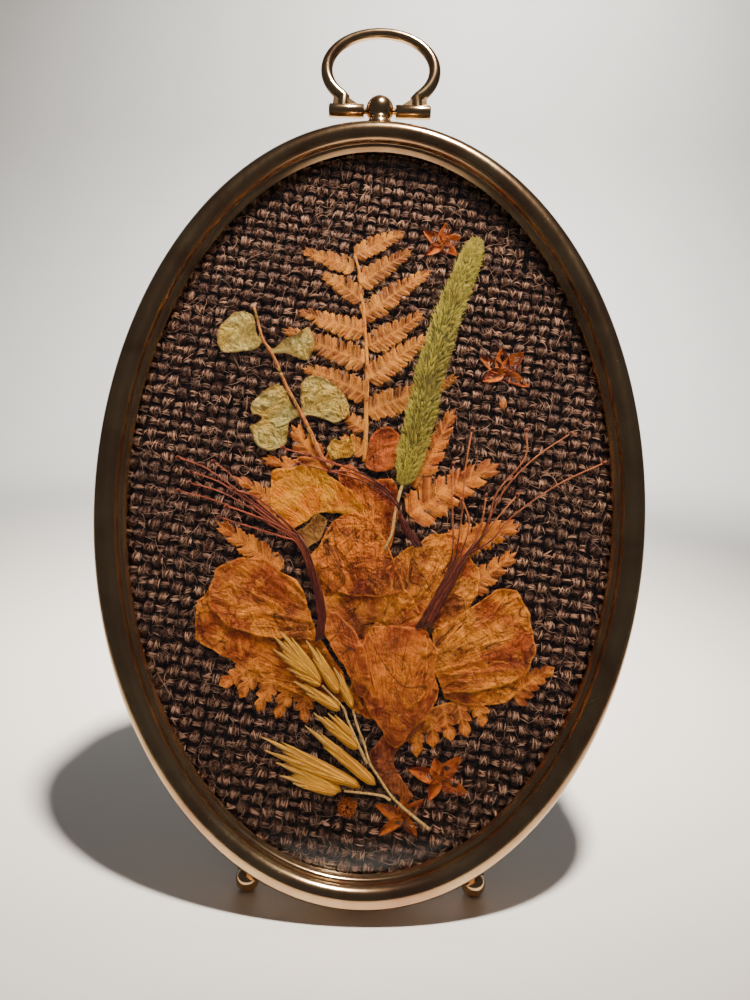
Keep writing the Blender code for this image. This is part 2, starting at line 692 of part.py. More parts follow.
# Each single leaf is its foot, its tip, its half width and its lobes.
FERN_LEAVES = {
    "fern_behind_spike": ((9.0, 0.6), (17.2, 17.6), 2.4, 6),
    "fern_middle_right": ((8.2, -5.2), (26.2, 6.0), 3.6, 5),
    "fern_right": ((15.6, -11.6), (30.7, -6.4), 2.9, 5),
    "fern_right_low": ((17.4, -20.8), (29.8, -12.3), 2.6, 5),
    "fern_left": ((-17.6, -16.8), (-31.1, -7.3), 2.5, 6),
    "fern_left_middle": ((-17.6, -5.4), (-27.8, 2.0), 2.0, 4),
    "fern_left_upper": ((-12.6, 3.8), (-22.4, 6.2), 1.8, 4),
    "fern_upper_left": ((-9.2, 3.4), (-16.6, 13.2), 3.0, 3),
}


def side_leaves(group, side):
    return [(below, pinna(foot, tip, width, lobes, side)) for below, foot, tip, width, lobes in group]


def make_ferns():
    plant("fern_frond", frond_outline(), 0, GOLD_FERN)
    for name, (stem, right, left) in FERN_SPRAYS.items():
        plant(name, branched(stem, 0.45, side_leaves(right, 1), side_leaves(left, -1)), 0, FERN)
    for name, (foot, tip, half_width, lobes) in FERN_LEAVES.items():
        plant(name, in_metres(pinna(foot, tip, half_width, lobes, 1)), 0, FERN)


# ---------------------------------------------------------------- petals

# Each petal is its outline in millimetres, its layer in the pile and its colour.
PETALS = {
    "petal_left_lower": (
        [(-31.7, -21.0), (-33.9, -23.5), (-34.4, -28.0), (-34.2, -31.4), (-29.9, -33.4), (-23.3, -36.8),
         (-15.1, -40.5), (-7.2, -43.4), (-2.8, -42.4), (-4.5, -36.8), (-8.3, -31.6), (-18.0, -24.0),
         (-27.0, -19.6)],
        1, GOLD_PETAL,
    ),
    "petal_left_upper": (
        [(-30.7, -17.2), (-26.0, -14.9), (-21.1, -14.6), (-16.8, -17.4), (-13.1, -20.2), (-11.2, -25.6),
         (-9.8, -30.8), (-15.0, -30.6), (-21.4, -30.0), (-27.9, -28.2), (-31.4, -24.8), (-31.6, -20.6)],
        2, GOLD_PETAL,
    ),
    "petal_centre": (
        [(0.9, -27.7), (6.7, -27.4), (12.1, -28.2), (14.1, -32.0), (13.6, -36.6), (14.9, -40.6),
         (12.5, -44.7), (8.8, -48.3), (6.5, -51.2), (4.8, -50.4), (3.7, -47.7), (0.8, -44.8),
         (-1.2, -39.0), (-1.1, -31.4)],
        3, GOLD_PETAL,
    ),
    "petal_centre_left": (
        [(-8.4, -29.0), (-7.6, -25.2), (-5.2, -25.6), (-2.6, -28.4), (0.0, -33.2), (1.1, -38.4),
         (-0.2, -42.0), (-1.9, -40.8), (-3.8, -36.2), (-6.8, -32.6)],
        4, RUST_PETAL,
    ),
    "petal_right": (
        [(13.0, -28.4), (17.2, -26.4), (22.8, -21.8), (26.0, -19.8), (30.1, -19.7), (31.8, -23.4),
         (33.4, -28.3), (33.6, -32.4), (31.4, -36.6), (28.0, -38.6), (21.6, -40.2), (15.2, -40.4),
         (13.4, -35.0)],
        2, PLUM_PETAL,
    ),
    "petal_right_lower": (
        [(15.6, -41.6), (20.6, -42.6), (24.7, -42.8), (28.2, -42.2), (31.4, -38.4), (28.0, -34.0),
         (20.0, -34.0), (15.4, -37.0)],
        1, RUST_PETAL,
    ),
    "petal_right_upper": (
        [(4.6, -14.0), (8.3, -11.7), (13.2, -8.8), (17.0, -8.6), (19.6, -11.6), (22.2, -15.6),
         (22.6, -20.0), (19.6, -24.6), (15.6, -27.8), (9.0, -28.0), (5.0, -22.0)],
        1, RUST_PETAL,
    ),
    "petal_middle": (
        [(-10.4, -13.8), (-9.4, -10.2), (-7.4, -6.6), (-3.4, -4.9), (0.8, -6.2), (3.6, -10.6), (5.7, -16.0),
         (7.7, -20.8), (2.4, -22.2), (-2.4, -21.9), (-7.3, -20.8), (-9.6, -17.4)],
        3, RUST_PETAL,
    ),
    "petal_top_gold": (
        [(-20.0, 3.3), (-14.7, 4.5), (-11.6, 4.6), (-8.0, 2.2), (-3.7, -0.5), (-1.2, -3.4), (-0.6, -5.7),
         (-5.0, -4.9), (-10.4, -4.8), (-13.3, -7.6), (-15.8, -8.9), (-19.6, -6.6), (-20.7, -1.2)],
        2, GOLD_PETAL,
    ),
    "petal_under": (
        [(-12.9, -14.6), (-10.2, -12.2), (-8.2, -9.6), (-5.0, -7.6), (-1.0, -7.4), (3.0, -9.6),
         (4.0, -14.5), (7.5, -20.0), (11.6, -26.6), (12.2, -34.0), (11.6, -41.0), (6.0, -45.6),
         (0.4, -45.4), (-3.6, -43.0), (-2.8, -38.0), (-6.0, -33.0), (-8.6, -28.6), (-9.4, -22.0)],
        2, RUST_PETAL,
    ),
    "petal_behind": (
        [(-6.8, 2.6), (-6.2, 4.6), (-3.8, 5.4), (-2.2, 3.8), (1.0, 2.4), (4.6, 2.6), (6.0, -1.2),
         (6.0, -6.0), (5.0, -10.4), (3.6, -13.2), (0.0, -12.0), (-3.0, -8.6), (-5.6, -6.0), (-5.6, -1.6)],
        1, GOLD_PETAL,
    ),
    "petal_red": (
        [(-1.2, 5.0), (-0.6, 9.6), (1.0, 12.6), (3.6, 13.4), (6.2, 11.4), (6.6, 7.6), (4.6, 4.6),
         (1.6, 3.4)],
        1, RED_PETAL,
    ),
    "petal_yellow": (
        [(-9.4, 8.2), (-8.2, 10.6), (-5.8, 10.0), (-4.0, 11.0), (-2.9, 8.6), (-4.2, 6.4), (-6.4, 6.8),
         (-8.0, 5.9)],
        1, YELLOW_PETAL,
    ),
    "folded_leaf": (
        [(-15.8, -9.3), (-13.3, -7.9), (-10.4, -5.0), (-8.6, -6.4), (-9.9, -10.2), (-12.4, -12.8),
         (-14.4, -12.9)],
        1, OLIVE_LEAF,
    ),
    "calyx_stem": (
        [(13.4, -44.8), (9.2, -49.3), (6.0, -52.6), (5.8, -54.8), (8.8, -59.0), (10.0, -60.6), (8.3, -61.2),
         (5.2, -59.0), (2.4, -55.9), (1.0, -52.5), (3.0, -49.5), (8.4, -46.0)],
        1, RED_PETAL,
    ),
}


def make_petals():
    for name, (outline, layer, look) in PETALS.items():
        plant(name, in_metres(rounded(outline)), layer, look)


# ---------------------------------------------------------------- stamens, twig, oats and flowers

# Each bundle is its shared base, up its right side and down its left, with the routes of its filaments.
LEFT_STAMENS = [
    [(-18.0, -10.2), (-30.4, -6.6)],
    [(-20.6, -7.6), (-31.0, -3.4), (-38.9, -1.4)],
    [(-22.4, -5.6), (-30.0, -1.5), (-36.8, 0.3)],
    [(-23.6, -4.1), (-30.4, 0.4), (-36.5, 2.6)],
    [(-24.6, -2.9), (-33.2, 3.2), (-39.3, 5.5)],
    [(-24.8, -1.6), (-29.0, 2.6), (-32.1, 4.9)],
]
MIDDLE_STAMENS = [
    [(5.6, -3.4), (-1.2, 1.4), (-10.9, 4.0), (-14.6, 4.8)],
    [(5.0, -1.8), (-1.6, 2.9), (-9.9, 5.6), (-18.0, 8.0)],
]
RIGHT_STAMENS = [
    [(19.4, -11.0), (28.2, -5.6), (38.9, 1.8), (48.0, 6.7)],
    [(20.0, -8.4), (26.8, -4.4), (30.0, -0.4)],
    [(20.3, -7.7), (27.0, 0.0), (33.4, 7.2), (41.2, 12.8)],
    [(20.6, -7.0), (26.4, 0.7), (31.6, 7.5), (32.1, 13.2)],
    [(18.8, -6.6), (20.0, 4.0), (20.7, 13.0)],
    [(17.2, -7.0), (17.0, 0.0), (16.8, 5.8)],
]
FILAMENT_HALF_WIDTH = 0.2
RIGHT_STAMEN_TIP = (48.0 * MM, 6.7 * MM)


def stamen_outline(right_side, filaments, left_side, side):
    """A bundle's base with a thread growing from its far end for each route."""
    threads = []
    for route in filaments:
        threads += filament(route, FILAMENT_HALF_WIDTH, side)
    return in_metres(right_side + threads + left_side)


def droop(obj, foot, tip, drop):
    """Slants a flat piece so that it is lower by drop at its tip than at its foot."""
    along = Vector(tip) - Vector(foot)
    for vertex in obj.data.vertices:
        share = (vertex.co.xy - Vector(foot)).dot(along) / along.length_squared
        vertex.co.z -= drop * share


def make_stamens():
    left = stamen_outline(
        [(-9.0, -30.8), (-8.9, -25.2), (-10.8, -18.0), (-13.6, -11.8)],
        LEFT_STAMENS[::-1],
        [(-17.0, -11.0), (-14.0, -18.0), (-11.2, -25.4), (-9.6, -30.6)],
        1,
    )
    plant("stamens_left", left[::-1], 4, FILAMENT)
    middle = stamen_outline(
        [(10.6, -11.4), (7.4, -7.0)],
        MIDDLE_STAMENS[::-1],
        [(6.4, -7.6), (9.6, -11.9)],
        1,
    )
    plant("stamens_middle", middle, 4, FILAMENT)
    right = stamen_outline(
        [(9.4, -28.0), (13.4, -28.4), (18.6, -16.6)],
        RIGHT_STAMENS,
        [(16.2, -16.7), (9.2, -26.8)],
        1,
    )
    droop(plant("stamens_right", right, 4, FILAMENT), (11.0 * MM, -28.0 * MM), RIGHT_STAMEN_TIP, 1.65 * MM)


def twig_outline():
    """A thin twig with a pair of fan leaflets above and a pair below."""
    stem = [
        (-8.2, 4.1), (-10.4, 7.0), (-12.8, 12.0), (-14.4, 15.2), (-15.2, 16.6), (-17.6, 20.6), (-20.6, 27.0),
        (-21.6, 28.8), (-23.3, 31.4), (-23.9, 33.0), (-25.6, 38.8),
    ]
    lower_right = [
        (-13.8, 15.4), (-10.8, 15.0), (-7.6, 13.8), (-5.4, 14.8), (-4.7, 17.2), (-5.6, 19.8), (-7.8, 22.1),
        (-10.4, 23.7), (-13.1, 24.1), (-15.0, 22.6), (-15.0, 19.2), (-14.6, 16.2),
    ]
    lower_left = [
        (-15.4, 15.2), (-17.1, 14.2), (-17.4, 12.4), (-17.6, 9.0), (-20.1, 7.6), (-22.2, 7.8), (-24.4, 9.5),
        (-24.2, 11.0), (-25.4, 12.4), (-23.9, 13.2), (-22.4, 14.8), (-23.6, 15.5), (-24.9, 15.0),
        (-25.3, 16.6), (-24.4, 18.7), (-22.6, 20.2), (-20.8, 21.8), (-19.0, 21.7), (-17.7, 19.4),
        (-16.2, 16.6),
    ]
    upper_right = [
        (-20.6, 28.6), (-18.4, 28.9), (-16.3, 28.0), (-13.9, 27.2), (-12.5, 29.8), (-12.7, 32.2),
        (-13.9, 34.9), (-15.5, 33.2), (-17.6, 32.1), (-19.3, 31.0), (-21.2, 29.3),
    ]
    upper_left = [
        (-23.8, 31.2), (-24.0, 29.8), (-27.9, 28.7), (-31.9, 28.3), (-33.0, 30.3), (-32.8, 32.9),
        (-31.6, 35.5), (-30.1, 37.1), (-27.9, 37.8), (-26.1, 37.3), (-25.3, 36.0), (-25.1, 33.8),
        (-24.4, 31.8),
    ]
    return branched(
        stem,
        0.4,
        [(3, lower_right), (7, upper_right)],
        [(3, lower_left), (8, upper_left)],
    )


OAT_STEM_END = (13.0 * MM, -66.2 * MM)


def oat_outline():
    """A stem that bends up to the left, with spikelets on its left side and one at its end."""
    stem = [
        (13.0, -66.2), (9.8, -63.8), (7.3, -61.8), (5.4, -60.0), (3.1, -56.8), (1.2, -54.0), (0.1, -50.6),
        (-1.2, -47.5), (-2.3, -44.1),
    ]
    lowest = [
        (4.8, -61.4), (2.6, -60.8), (-3.6, -60.3), (-8.0, -59.9), (-15.9, -57.0), (-9.0, -57.9),
        (-16.8, -54.5), (-9.5, -56.2), (-20.0, -49.8), (-12.5, -51.6), (-6.5, -54.2), (-0.6, -58.0),
        (4.0, -60.4),
    ]
    highest = [
        (-1.9, -47.6), (-3.4, -46.4), (-5.4, -45.4), (-10.0, -42.4), (-14.1, -38.9), (-9.4, -40.4),
        (-15.5, -36.6), (-10.9, -37.4), (-18.3, -31.6), (-12.8, -34.8), (-17.1, -29.4), (-11.5, -34.0),
        (-8.7, -38.6), (-4.6, -43.0), (-3.0, -44.8),
    ]
    left = [
        (2, lowest),
        (3, blade((3.4, -58.6), (-11.5, -47.2), 1.2, -1)),
        (5, blade((0.2, -52.4), (-9.9, -44.7), 1.2, -1)),
        (7, highest),
    ]
    right = [(8, blade((-2.4, -43.6), (-11.9, -30.9), 1.1, 1))]
    return branched(stem, 0.35, right, left)


def star_outline(centre, tips, half_width):
    """A small flower: pointed petals round a common middle, in order round it."""
    centre = Vector(centre)
    outline = []
    for tip in tips:
        along = (Vector(tip) - centre).normalized()
        across = Vector((along.y, -along.x)) * half_width
        middle = centre + (Vector(tip) - centre) * 0.6
        outline += [middle + across, Vector(tip) + across * 0.45, Vector(tip) - across * 0.45, middle - across]
        following = tips[(tips.index(tip) + 1) % len(tips)]
        valley = (along + (Vector(following) - centre).normalized()).normalized()
        outline.append(centre + valley * half_width * 1.15)
    return in_metres([(place.x, place.y) for place in outline])


STARS = {
    "star_flower_left": ((7.7, -64.3), [(10.6, -67.8), (11.6, -60.4), (7.6, -59.8), (2.3, -62.2), (3.6, -68.2)], 1.05),
    "star_flower_low": ((14.8, -56.9), [(20.4, -60.4), (19.6, -53.0), (13.6, -53.0), (8.6, -55.6), (12.8, -61.0)], 1.3),
    "star_flower_top": ((14.1, 54.4), [(16.8, 50.9), (18.4, 55.2), (14.6, 59.0), (9.9, 56.6), (10.4, 51.8)], 1.2),
    "star_flower_side": ((27.2, 26.0), [(32.8, 22.8), (31.8, 30.2), (26.9, 31.2), (22.4, 29.2), (23.0, 23.4)], 1.3),
}


def make_small_flowers():
    for name, (centre, tips, half_width) in STARS.items():
        plant(name, star_outline(centre, tips, half_width), 0, CREAM, 0.3 * MM)
    bud = ellipse(2.1 * MM, 2.0 * MM, 14, (-2.9 * MM, -62.6 * MM))
    plant("flower_bud", bud, 0, CREAM, 0.8 * MM)
    seed = ellipse(0.8 * MM, 1.2 * MM, 10, (27.3 * MM, 19.0 * MM))
    plant("small_seed", seed, 0, DARK_SEED, 0.7 * MM)


def make_grass_spike():
    """The bristly seed head and its stem: one flattened sweep, thick in the head and thin in the stem."""
    head_half_width, head_half_depth = 3.0 * MM, 0.9 * MM
    profile = poly_curve(
        "spike_profile",
        ellipse(head_half_width, head_half_depth, 10),
        None,
        FRAME,
        cyclic=True,
        helper=True,
        dimensions="2D",
    )
    route = [
        (21.5, 54.9, 5.95, 0.26), (21.0, 53.4, 6.0, 0.58), (19.8, 49.8, 6.15, 0.86), (17.8, 44.0, 6.3, 1.0),
        (15.2, 36.6, 6.5, 1.1), (12.2, 26.0, 6.7, 1.15), (10.0, 15.4, 6.7, 1.15), (8.2, 7.6, 6.7, 1.05),
        (7.2, 3.2, 6.7, 0.75), (6.4, 0.6, 6.7, 0.28), (5.9, -1.4, 6.7, 0.14), (5.1, -5.2, 6.7, 0.14),
    ]
    points = [(x * MM, y * MM, z * MM, radius) for x, y, z, radius in route]
    spike = poly_curve("grass_spike", points, GRASS_GREEN, FRAME)
    spike.data.twist_mode = "Z_UP"
    spike.data.bevel_mode = "OBJECT"
    spike.data.bevel_object = profile
    spike.data.use_fill_caps = True
    made_mesh(spike)
    bpy.data.objects.remove(profile, do_unlink=True)


def make_plants():
    make_ferns()
    make_petals()
    make_stamens()
    plant("leaflet_twig", twig_outline(), 1, PALE_GREEN)
    droop(plant("oat_panicle", oat_outline(), 3, STRAW), (-8.0 * MM, -39.7 * MM), OAT_STEM_END, 0.8 * MM)
    make_small_flowers()
    make_grass_spike()


# ---------------------------------------------------------------- standing the frame on the ground


def stand_on_ground():
    """Moves the whole frame so that its feet stand at z = 0 and it is centred over the origin."""
    bpy.context.view_layer.update()
    graph = bpy.context.evaluated_depsgraph_get()
    low = Vector((math.inf,) * 3)
    high = Vector((-math.inf,) * 3)
    for obj in PARTS.objects:
        if obj.type == "EMPTY":
            continue
        shown = obj.evaluated_get(graph)
        mesh = shown.to_mesh()
        for vertex in mesh.vertices:
            place = shown.matrix_world @ vertex.co
            low = Vector(map(min, low, place))
            high = Vector(map(max, high, place))
        shown.to_mesh_clear()
    FRAME.location -= Vector(((low.x + high.x) / 2, (low.y + high.y) / 2, low.z))
    bpy.context.view_layer.update()


make_bezel()
make_glass()
make_boards()
make_foot("foot_left", -FOOT_SPREAD)
make_foot("foot_right", FOOT_SPREAD)
make_hinge()
make_strut()
make_stud()
make_ring()
make_plants()
stand_on_ground()
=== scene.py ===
"""Looks of the oval pressed flower frame: aged brass, domed glass, woven burlap and dried plants.

Shapes are worked out in the frame's own plane, in millimetres: x to the right, y up the frame and z out of
its front.
"""

import math

import bmesh
import bpy
import numpy as np
from mathutils import Matrix, Vector
from mathutils.geometry import delaunay_2d_cdt


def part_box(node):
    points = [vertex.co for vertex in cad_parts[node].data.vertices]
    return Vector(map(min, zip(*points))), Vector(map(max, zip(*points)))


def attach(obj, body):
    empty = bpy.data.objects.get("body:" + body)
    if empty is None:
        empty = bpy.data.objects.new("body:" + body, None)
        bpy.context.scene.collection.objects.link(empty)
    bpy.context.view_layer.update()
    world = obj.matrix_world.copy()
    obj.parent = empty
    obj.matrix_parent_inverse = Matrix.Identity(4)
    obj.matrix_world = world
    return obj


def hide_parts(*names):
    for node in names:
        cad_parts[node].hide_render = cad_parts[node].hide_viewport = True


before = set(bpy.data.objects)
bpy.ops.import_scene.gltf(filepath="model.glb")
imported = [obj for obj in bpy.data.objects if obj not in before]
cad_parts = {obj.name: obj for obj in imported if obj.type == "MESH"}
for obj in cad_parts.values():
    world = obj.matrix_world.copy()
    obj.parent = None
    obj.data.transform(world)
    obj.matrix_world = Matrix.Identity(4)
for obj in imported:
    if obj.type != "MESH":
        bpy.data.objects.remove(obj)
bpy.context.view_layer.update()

MM = 0.001
LEAN = math.radians(19)
BURLAP_MIDDLE = 4.1
RIGHT = np.array([1.0, 0.0, 0.0])
UP = np.array([0.0, math.sin(LEAN), math.cos(LEAN)])
OUT = np.array([0.0, -math.cos(LEAN), math.sin(LEAN)])
AXES = np.array([RIGHT, UP, OUT])

burlap_low, burlap_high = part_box("burlap")
ORIGIN = np.array((burlap_low + burlap_high) / 2) / MM - OUT * BURLAP_MIDDLE


# ---------------------------------------------------------------- places and noise


def to_world(points):
    """Points of the frame's plane, in millimetres, as world points in metres."""
    return (np.asarray(points, float) @ AXES + ORIGIN) * MM


def to_plane(points):
    """World points in metres as points of the frame's plane, in millimetres."""
    return (np.asarray(points, float) / MM - ORIGIN) @ AXES.T


def fade(t):
    return t * t * (3 - 2 * t)


def noise(x, y, seed=0):
    """Smooth noise from -1 to 1 with a cell of 1, over arrays x and y."""
    x, y = np.asarray(x, float), np.asarray(y, float)
    table = np.random.default_rng(seed).uniform(-1, 1, (128, 128))
    column, row = np.floor(x).astype(int), np.floor(y).astype(int)
    u, v = fade(x - column), fade(y - row)
    a, b = column % 128, (column + 1) % 128
    c, d = row % 128, (row + 1) % 128
    low = table[a, c] * (1 - u) + table[b, c] * u
    high = table[a, d] * (1 - u) + table[b, d] * u
    return low * (1 - v) + high * v


def rough_noise(x, y, seed=0, octaves=3):
    total = 0.0
    for octave in range(octaves):
        scale = 2**octave
        total = total + noise(x * scale + 17.3 * octave, y * scale - 9.1 * octave, seed + octave) / scale
    return total / (2 - 2.0 ** (1 - octaves))


def unit(vectors):
    """Vectors of length 1 in the same directions."""
    return vectors / (np.linalg.norm(vectors, axis=-1, keepdims=True) + 1e-12)


def smooth_route(points, steps=6):
    """A Catmull-Rom curve through points of any dimension."""
    points = np.asarray(points, float)
    padded = np.vstack([2 * points[0] - points[1], points, 2 * points[-1] - points[-2]])
    route = []
    for before, here, after, beyond in zip(padded, padded[1:], padded[2:], padded[3:]):
        slope = after - before
        bend = 2 * before - 5 * here + 4 * after - beyond
        twist = 3 * here - before - 3 * after + beyond
        route += [0.5 * (2 * here + slope * t + bend * t**2 + twist * t**3) for t in np.arange(steps) / steps]
    route.append(points[-1])
    return np.array(route)


# ---------------------------------------------------------------- meshes


class Pile:
    """Vertices, faces and one vector attribute, gathered from many small shapes."""

    def __init__(self):
        self.points, self.faces, self.tags, self.count = [], [], [], 0

    def add(self, points, faces, tags=None):
        points = np.asarray(points, float)
        tags = np.zeros((len(points), 3)) if tags is None else np.broadcast_to(tags, (len(points), 3))
        self.points.append(points)
        self.faces += [tuple(i + self.count for i in face) for face in faces]
        self.tags.append(tags)
        self.count += len(points)


def add_object(name, data):
    obj = bpy.data.objects.new(name, data)
    bpy.context.scene.collection.objects.link(obj)
    return obj


def add_piece(name, pile, look, nodes=(), body="frame", smooth=True, thickness=0.0):
    """One object from a pile in plane coordinates. It takes the place of the named CAD nodes."""
    mesh = bpy.data.meshes.new(name)
    mesh.from_pydata(to_world(np.vstack(pile.points)).tolist(), [], pile.faces)
    tag = mesh.attributes.new("tag", "FLOAT_VECTOR", "POINT")
    tag.data.foreach_set("vector", np.vstack(pile.tags).astype(np.float32).ravel())
    mesh.materials.append(look)
    if smooth:
        mesh.shade_smooth()
    mesh.update()
    obj = add_object(name, mesh)
    if thickness:
        solid = obj.modifiers.new("thickness", "SOLIDIFY")
        solid.thickness = thickness * MM
        solid.offset = -1
    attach(obj, body)
    nodes = [nodes] if isinstance(nodes, str) else list(nodes)
    if nodes:
        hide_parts(*nodes)
    return obj


def grid_faces(rows, columns, wrap_rows=False, wrap_columns=False):
    """Quads of a grid of rows x columns points."""
    faces = []
    for i in range(rows if wrap_rows else rows - 1):
        for j in range(columns if wrap_columns else columns - 1):
            row, next_row, next_column = i * columns, (i + 1) % rows * columns, (j + 1) % columns
            faces.append((row + j, row + next_column, next_row + next_column, next_row + j))
    return faces


def add_tube(pile, route, radii, sides=6, tag=(0, 0, 0), flat=1.0):
    """A tapered tube along a route, closed at its ends. flat squashes it towards the plane."""
    route = np.asarray(route, float)
    radii = np.broadcast_to(radii, (len(route),))
    along = unit(np.gradient(route, axis=0))
    side = unit(np.cross(along, [0.0, 0.0, 1.0]))
    top = np.cross(side, along)
    turns = 2 * math.pi * np.arange(sides) / sides
    ring = side[:, None] * np.cos(turns)[:, None] + flat * top[:, None] * np.sin(turns)[:, None]
    points = (route[:, None] + ring * radii[:, None, None]).reshape(-1, 3)
    faces = [face[::-1] for face in grid_faces(len(route), sides, wrap_columns=True)]
    last = len(points) - sides
    faces += [tuple(range(sides)), tuple(range(len(points) - 1, last - 1, -1))]
    tags = np.tile(np.asarray(tag, float), (len(points), 1))
    tags[:, 1] = np.repeat(np.linspace(0, 1, len(route)), sides)
    pile.add(points, faces, tags)


def inside(points, outline):
    """Which points lie inside a closed outline."""
    x, y = points[:, 0][:, None], points[:, 1][:, None]
    ax, ay = outline[:, 0][None], outline[:, 1][None]
    bx, by = np.roll(outline[:, 0], -1)[None], np.roll(outline[:, 1], -1)[None]
    crosses = (ay > y) != (by > y)
    at = ax + (y - ay) / np.where(by == ay, 1e-9, by - ay) * (bx - ax)
    return (crosses & (x < at)).sum(1) % 2 == 1


def edge_distance(points, outline):
    """Each point's distance from a closed outline."""
    nearest = np.full(len(points), 1e9)
    for a, b in zip(outline, np.roll(outline, -1, axis=0)):
        span = b - a
        t = np.clip(((points - a) @ span) / max(span @ span, 1e-9), 0, 1)
        nearest = np.minimum(nearest, np.linalg.norm(points - (a + t[:, None] * span), axis=1))
    return nearest


def resampled(outline, spacing):
    """A closed outline with a point about every spacing."""
    points = []
    for a, b in zip(outline, np.roll(outline, -1, axis=0)):
        count = max(1, int(round(np.linalg.norm(b - a) / spacing)))
        points += [a + (b - a) * k / count for k in range(count)]
    return np.array(points)


def fine_sheet(outline, spacing, seed=0):
    """An even mesh of small triangles inside an outline: its points, faces and distances from the edge."""
    outline = resampled(np.asarray(outline, float), spacing)
    low, high = outline.min(0), outline.max(0)
    xs = np.arange(low[0], high[0], spacing)
    ys = np.arange(low[1], high[1], spacing * 0.87)
    grid = np.array([(x + (k % 2) * spacing / 2, y) for k, y in enumerate(ys) for x in xs])
    if len(grid):
        grid = grid + np.random.default_rng(seed).uniform(-0.18, 0.18, grid.shape) * spacing
        grid = grid[inside(grid, outline)]
    if len(grid):
        grid = grid[edge_distance(grid, outline) > 0.55 * spacing]
    points = np.vstack([outline, grid]) if len(grid) else outline
    edges = [(k, (k + 1) % len(outline)) for k in range(len(outline))]
    made, _, faces, *_ = delaunay_2d_cdt([Vector(p) for p in points], edges, [], 1, 1e-6)
    made = np.array([tuple(v) for v in made])
    middles = np.array([made[list(face)].mean(0) for face in faces])
    kept = [face for face, within in zip(faces, inside(middles, outline)) if within]
    return made, kept, edge_distance(made, outline)


def outline_of(node):
    """The outline of a flat CAD node, as its front face shows it."""
    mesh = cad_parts[node].data
    mesh.calc_loop_triangles()
    places = to_plane([v.co for v in mesh.vertices])
    keys = [tuple(np.round(p[:2], 3)) for p in places]
    front = places[:, 2].max() - 0.05
    count = {}
    for triangle in mesh.loop_triangles:
        corners = list(triangle.vertices)
        if min(places[corners, 2]) < front:
            continue
        for a, b in zip(corners, corners[1:] + corners[:1]):
            if keys[a] == keys[b]:
                continue
            count[(keys[a], keys[b])] = count.get((keys[a], keys[b]), 0) + 1
    after = {a: b for a, b in count if (b, a) not in count}
    start = next(iter(after))
    loop = [start]
    while after[loop[-1]] != start:
        loop.append(after[loop[-1]])
    return np.array(loop)


# ---------------------------------------------------------------- materials


class Look:
    """A Principled material with short calls for the nodes that feed it."""

    def __init__(self, name, roughness=0.6, metallic=0.0, specular=0.4):
        self.material = bpy.data.materials.new(name)
        self.material.use_nodes = True
        self.tree = self.material.node_tree
        self.shader = self.tree.nodes["Principled BSDF"]
        self.feed(self.shader, {"Roughness": roughness, "Metallic": metallic, "Specular IOR Level": specular})
        self.place = self.tree.nodes.new("ShaderNodeTexCoord").outputs["Object"]

    def feed(self, node, values):
        """Fills a node's inputs: another node's output is linked, and a number or a colour is set."""
        for key, value in values.items():
            socket = node.inputs[key]
            if isinstance(value, bpy.types.NodeSocket):
                self.tree.links.new(value, socket)
            elif isinstance(value, tuple) and len(value) < len(socket.default_value):
                socket.default_value = (*value, 1)
            else:
                socket.default_value = value

    def node(self, kind, values, **settings):
        node = self.tree.nodes.new("ShaderNode" + kind)
        for name, value in settings.items():
            setattr(node, name, value)
        self.feed(node, values)
        return node

    def set(self, socket, value):
        self.feed(self.shader, {socket: value})

    def tag(self):
        """The mesh's own tag: three values a point."""
        attribute = self.node("Attribute", {}, attribute_name="tag")
        return self.node("SeparateXYZ", {0: attribute.outputs["Vector"]}).outputs

    def scaled(self, source, scale):
        return self.node("Mapping", {"Vector": source, "Scale": scale}).outputs[0]

    def joined(self, x, y, z=0.0):
        return self.node("CombineXYZ", {0: x, 1: y, 2: z}).outputs[0]

    def noise(self, size_mm, detail=3.0, source=None, roughness=0.55, distortion=0.0):
        """Noise with cells of a size in millimetres or, over a source, in the source's own units."""
        scale = 1 / (size_mm * MM) if source is None else 1 / size_mm
        values = {"Vector": source or self.place, "Scale": scale, "Detail": detail}
        values.update({"Roughness": roughness, "Distortion": distortion})
        return self.node("TexNoise", values).outputs["Fac"]

    def ramp(self, source, *stops):
        """A source turned into greys. Each stop is its position and its grey."""
        node = self.node("ValToRGB", {0: source})
        elements = node.color_ramp.elements
        while len(elements) < len(stops):
            elements.new(1.0)
        for element, (position, grey) in zip(elements, stops):
            element.position = position
            element.color = (grey, grey, grey, 1)
        return node.outputs[0]

    def math(self, operation, a, b=0.0):
        return self.node("Math", {0: a, 1: b}, operation=operation).outputs[0]

    def times(self, a, b):
        return self.math("MULTIPLY", a, b)

    def plus(self, a, b):
        return self.math("ADD", a, b)

    def minus(self, a, b):
        return self.math("SUBTRACT", a, b)

    def size(self, a):
        return self.math("ABSOLUTE", a)

    def off_middle(self, noise):
        """How far a noise is from its middle: 0 along the lines where it crosses it."""
        return self.size(self.minus(noise, 0.5))

    def mix(self, factor, a, b):
        """Two colours mixed. A colour is a node's output or an (r, g, b)."""
        return self.node("Mix", {0: factor, 6: a, 7: b}, data_type="RGBA").outputs[2]

    def over(self, colour, other, source, *stops):
        """A colour with another laid over it, by as much as a ramp of the source says."""
        return self.mix(self.ramp(source, *stops), colour, other)

    def finished(self, colour, height, distance_mm, strength=1.0):
        """The material, once it has its colour and its bumps."""
        bump = self.node("Bump", {"Height": height, "Distance": distance_mm * MM, "Strength": strength})
        self.set("Base Color", colour)
        self.set("Normal", bump.outputs[0])
        return self.material


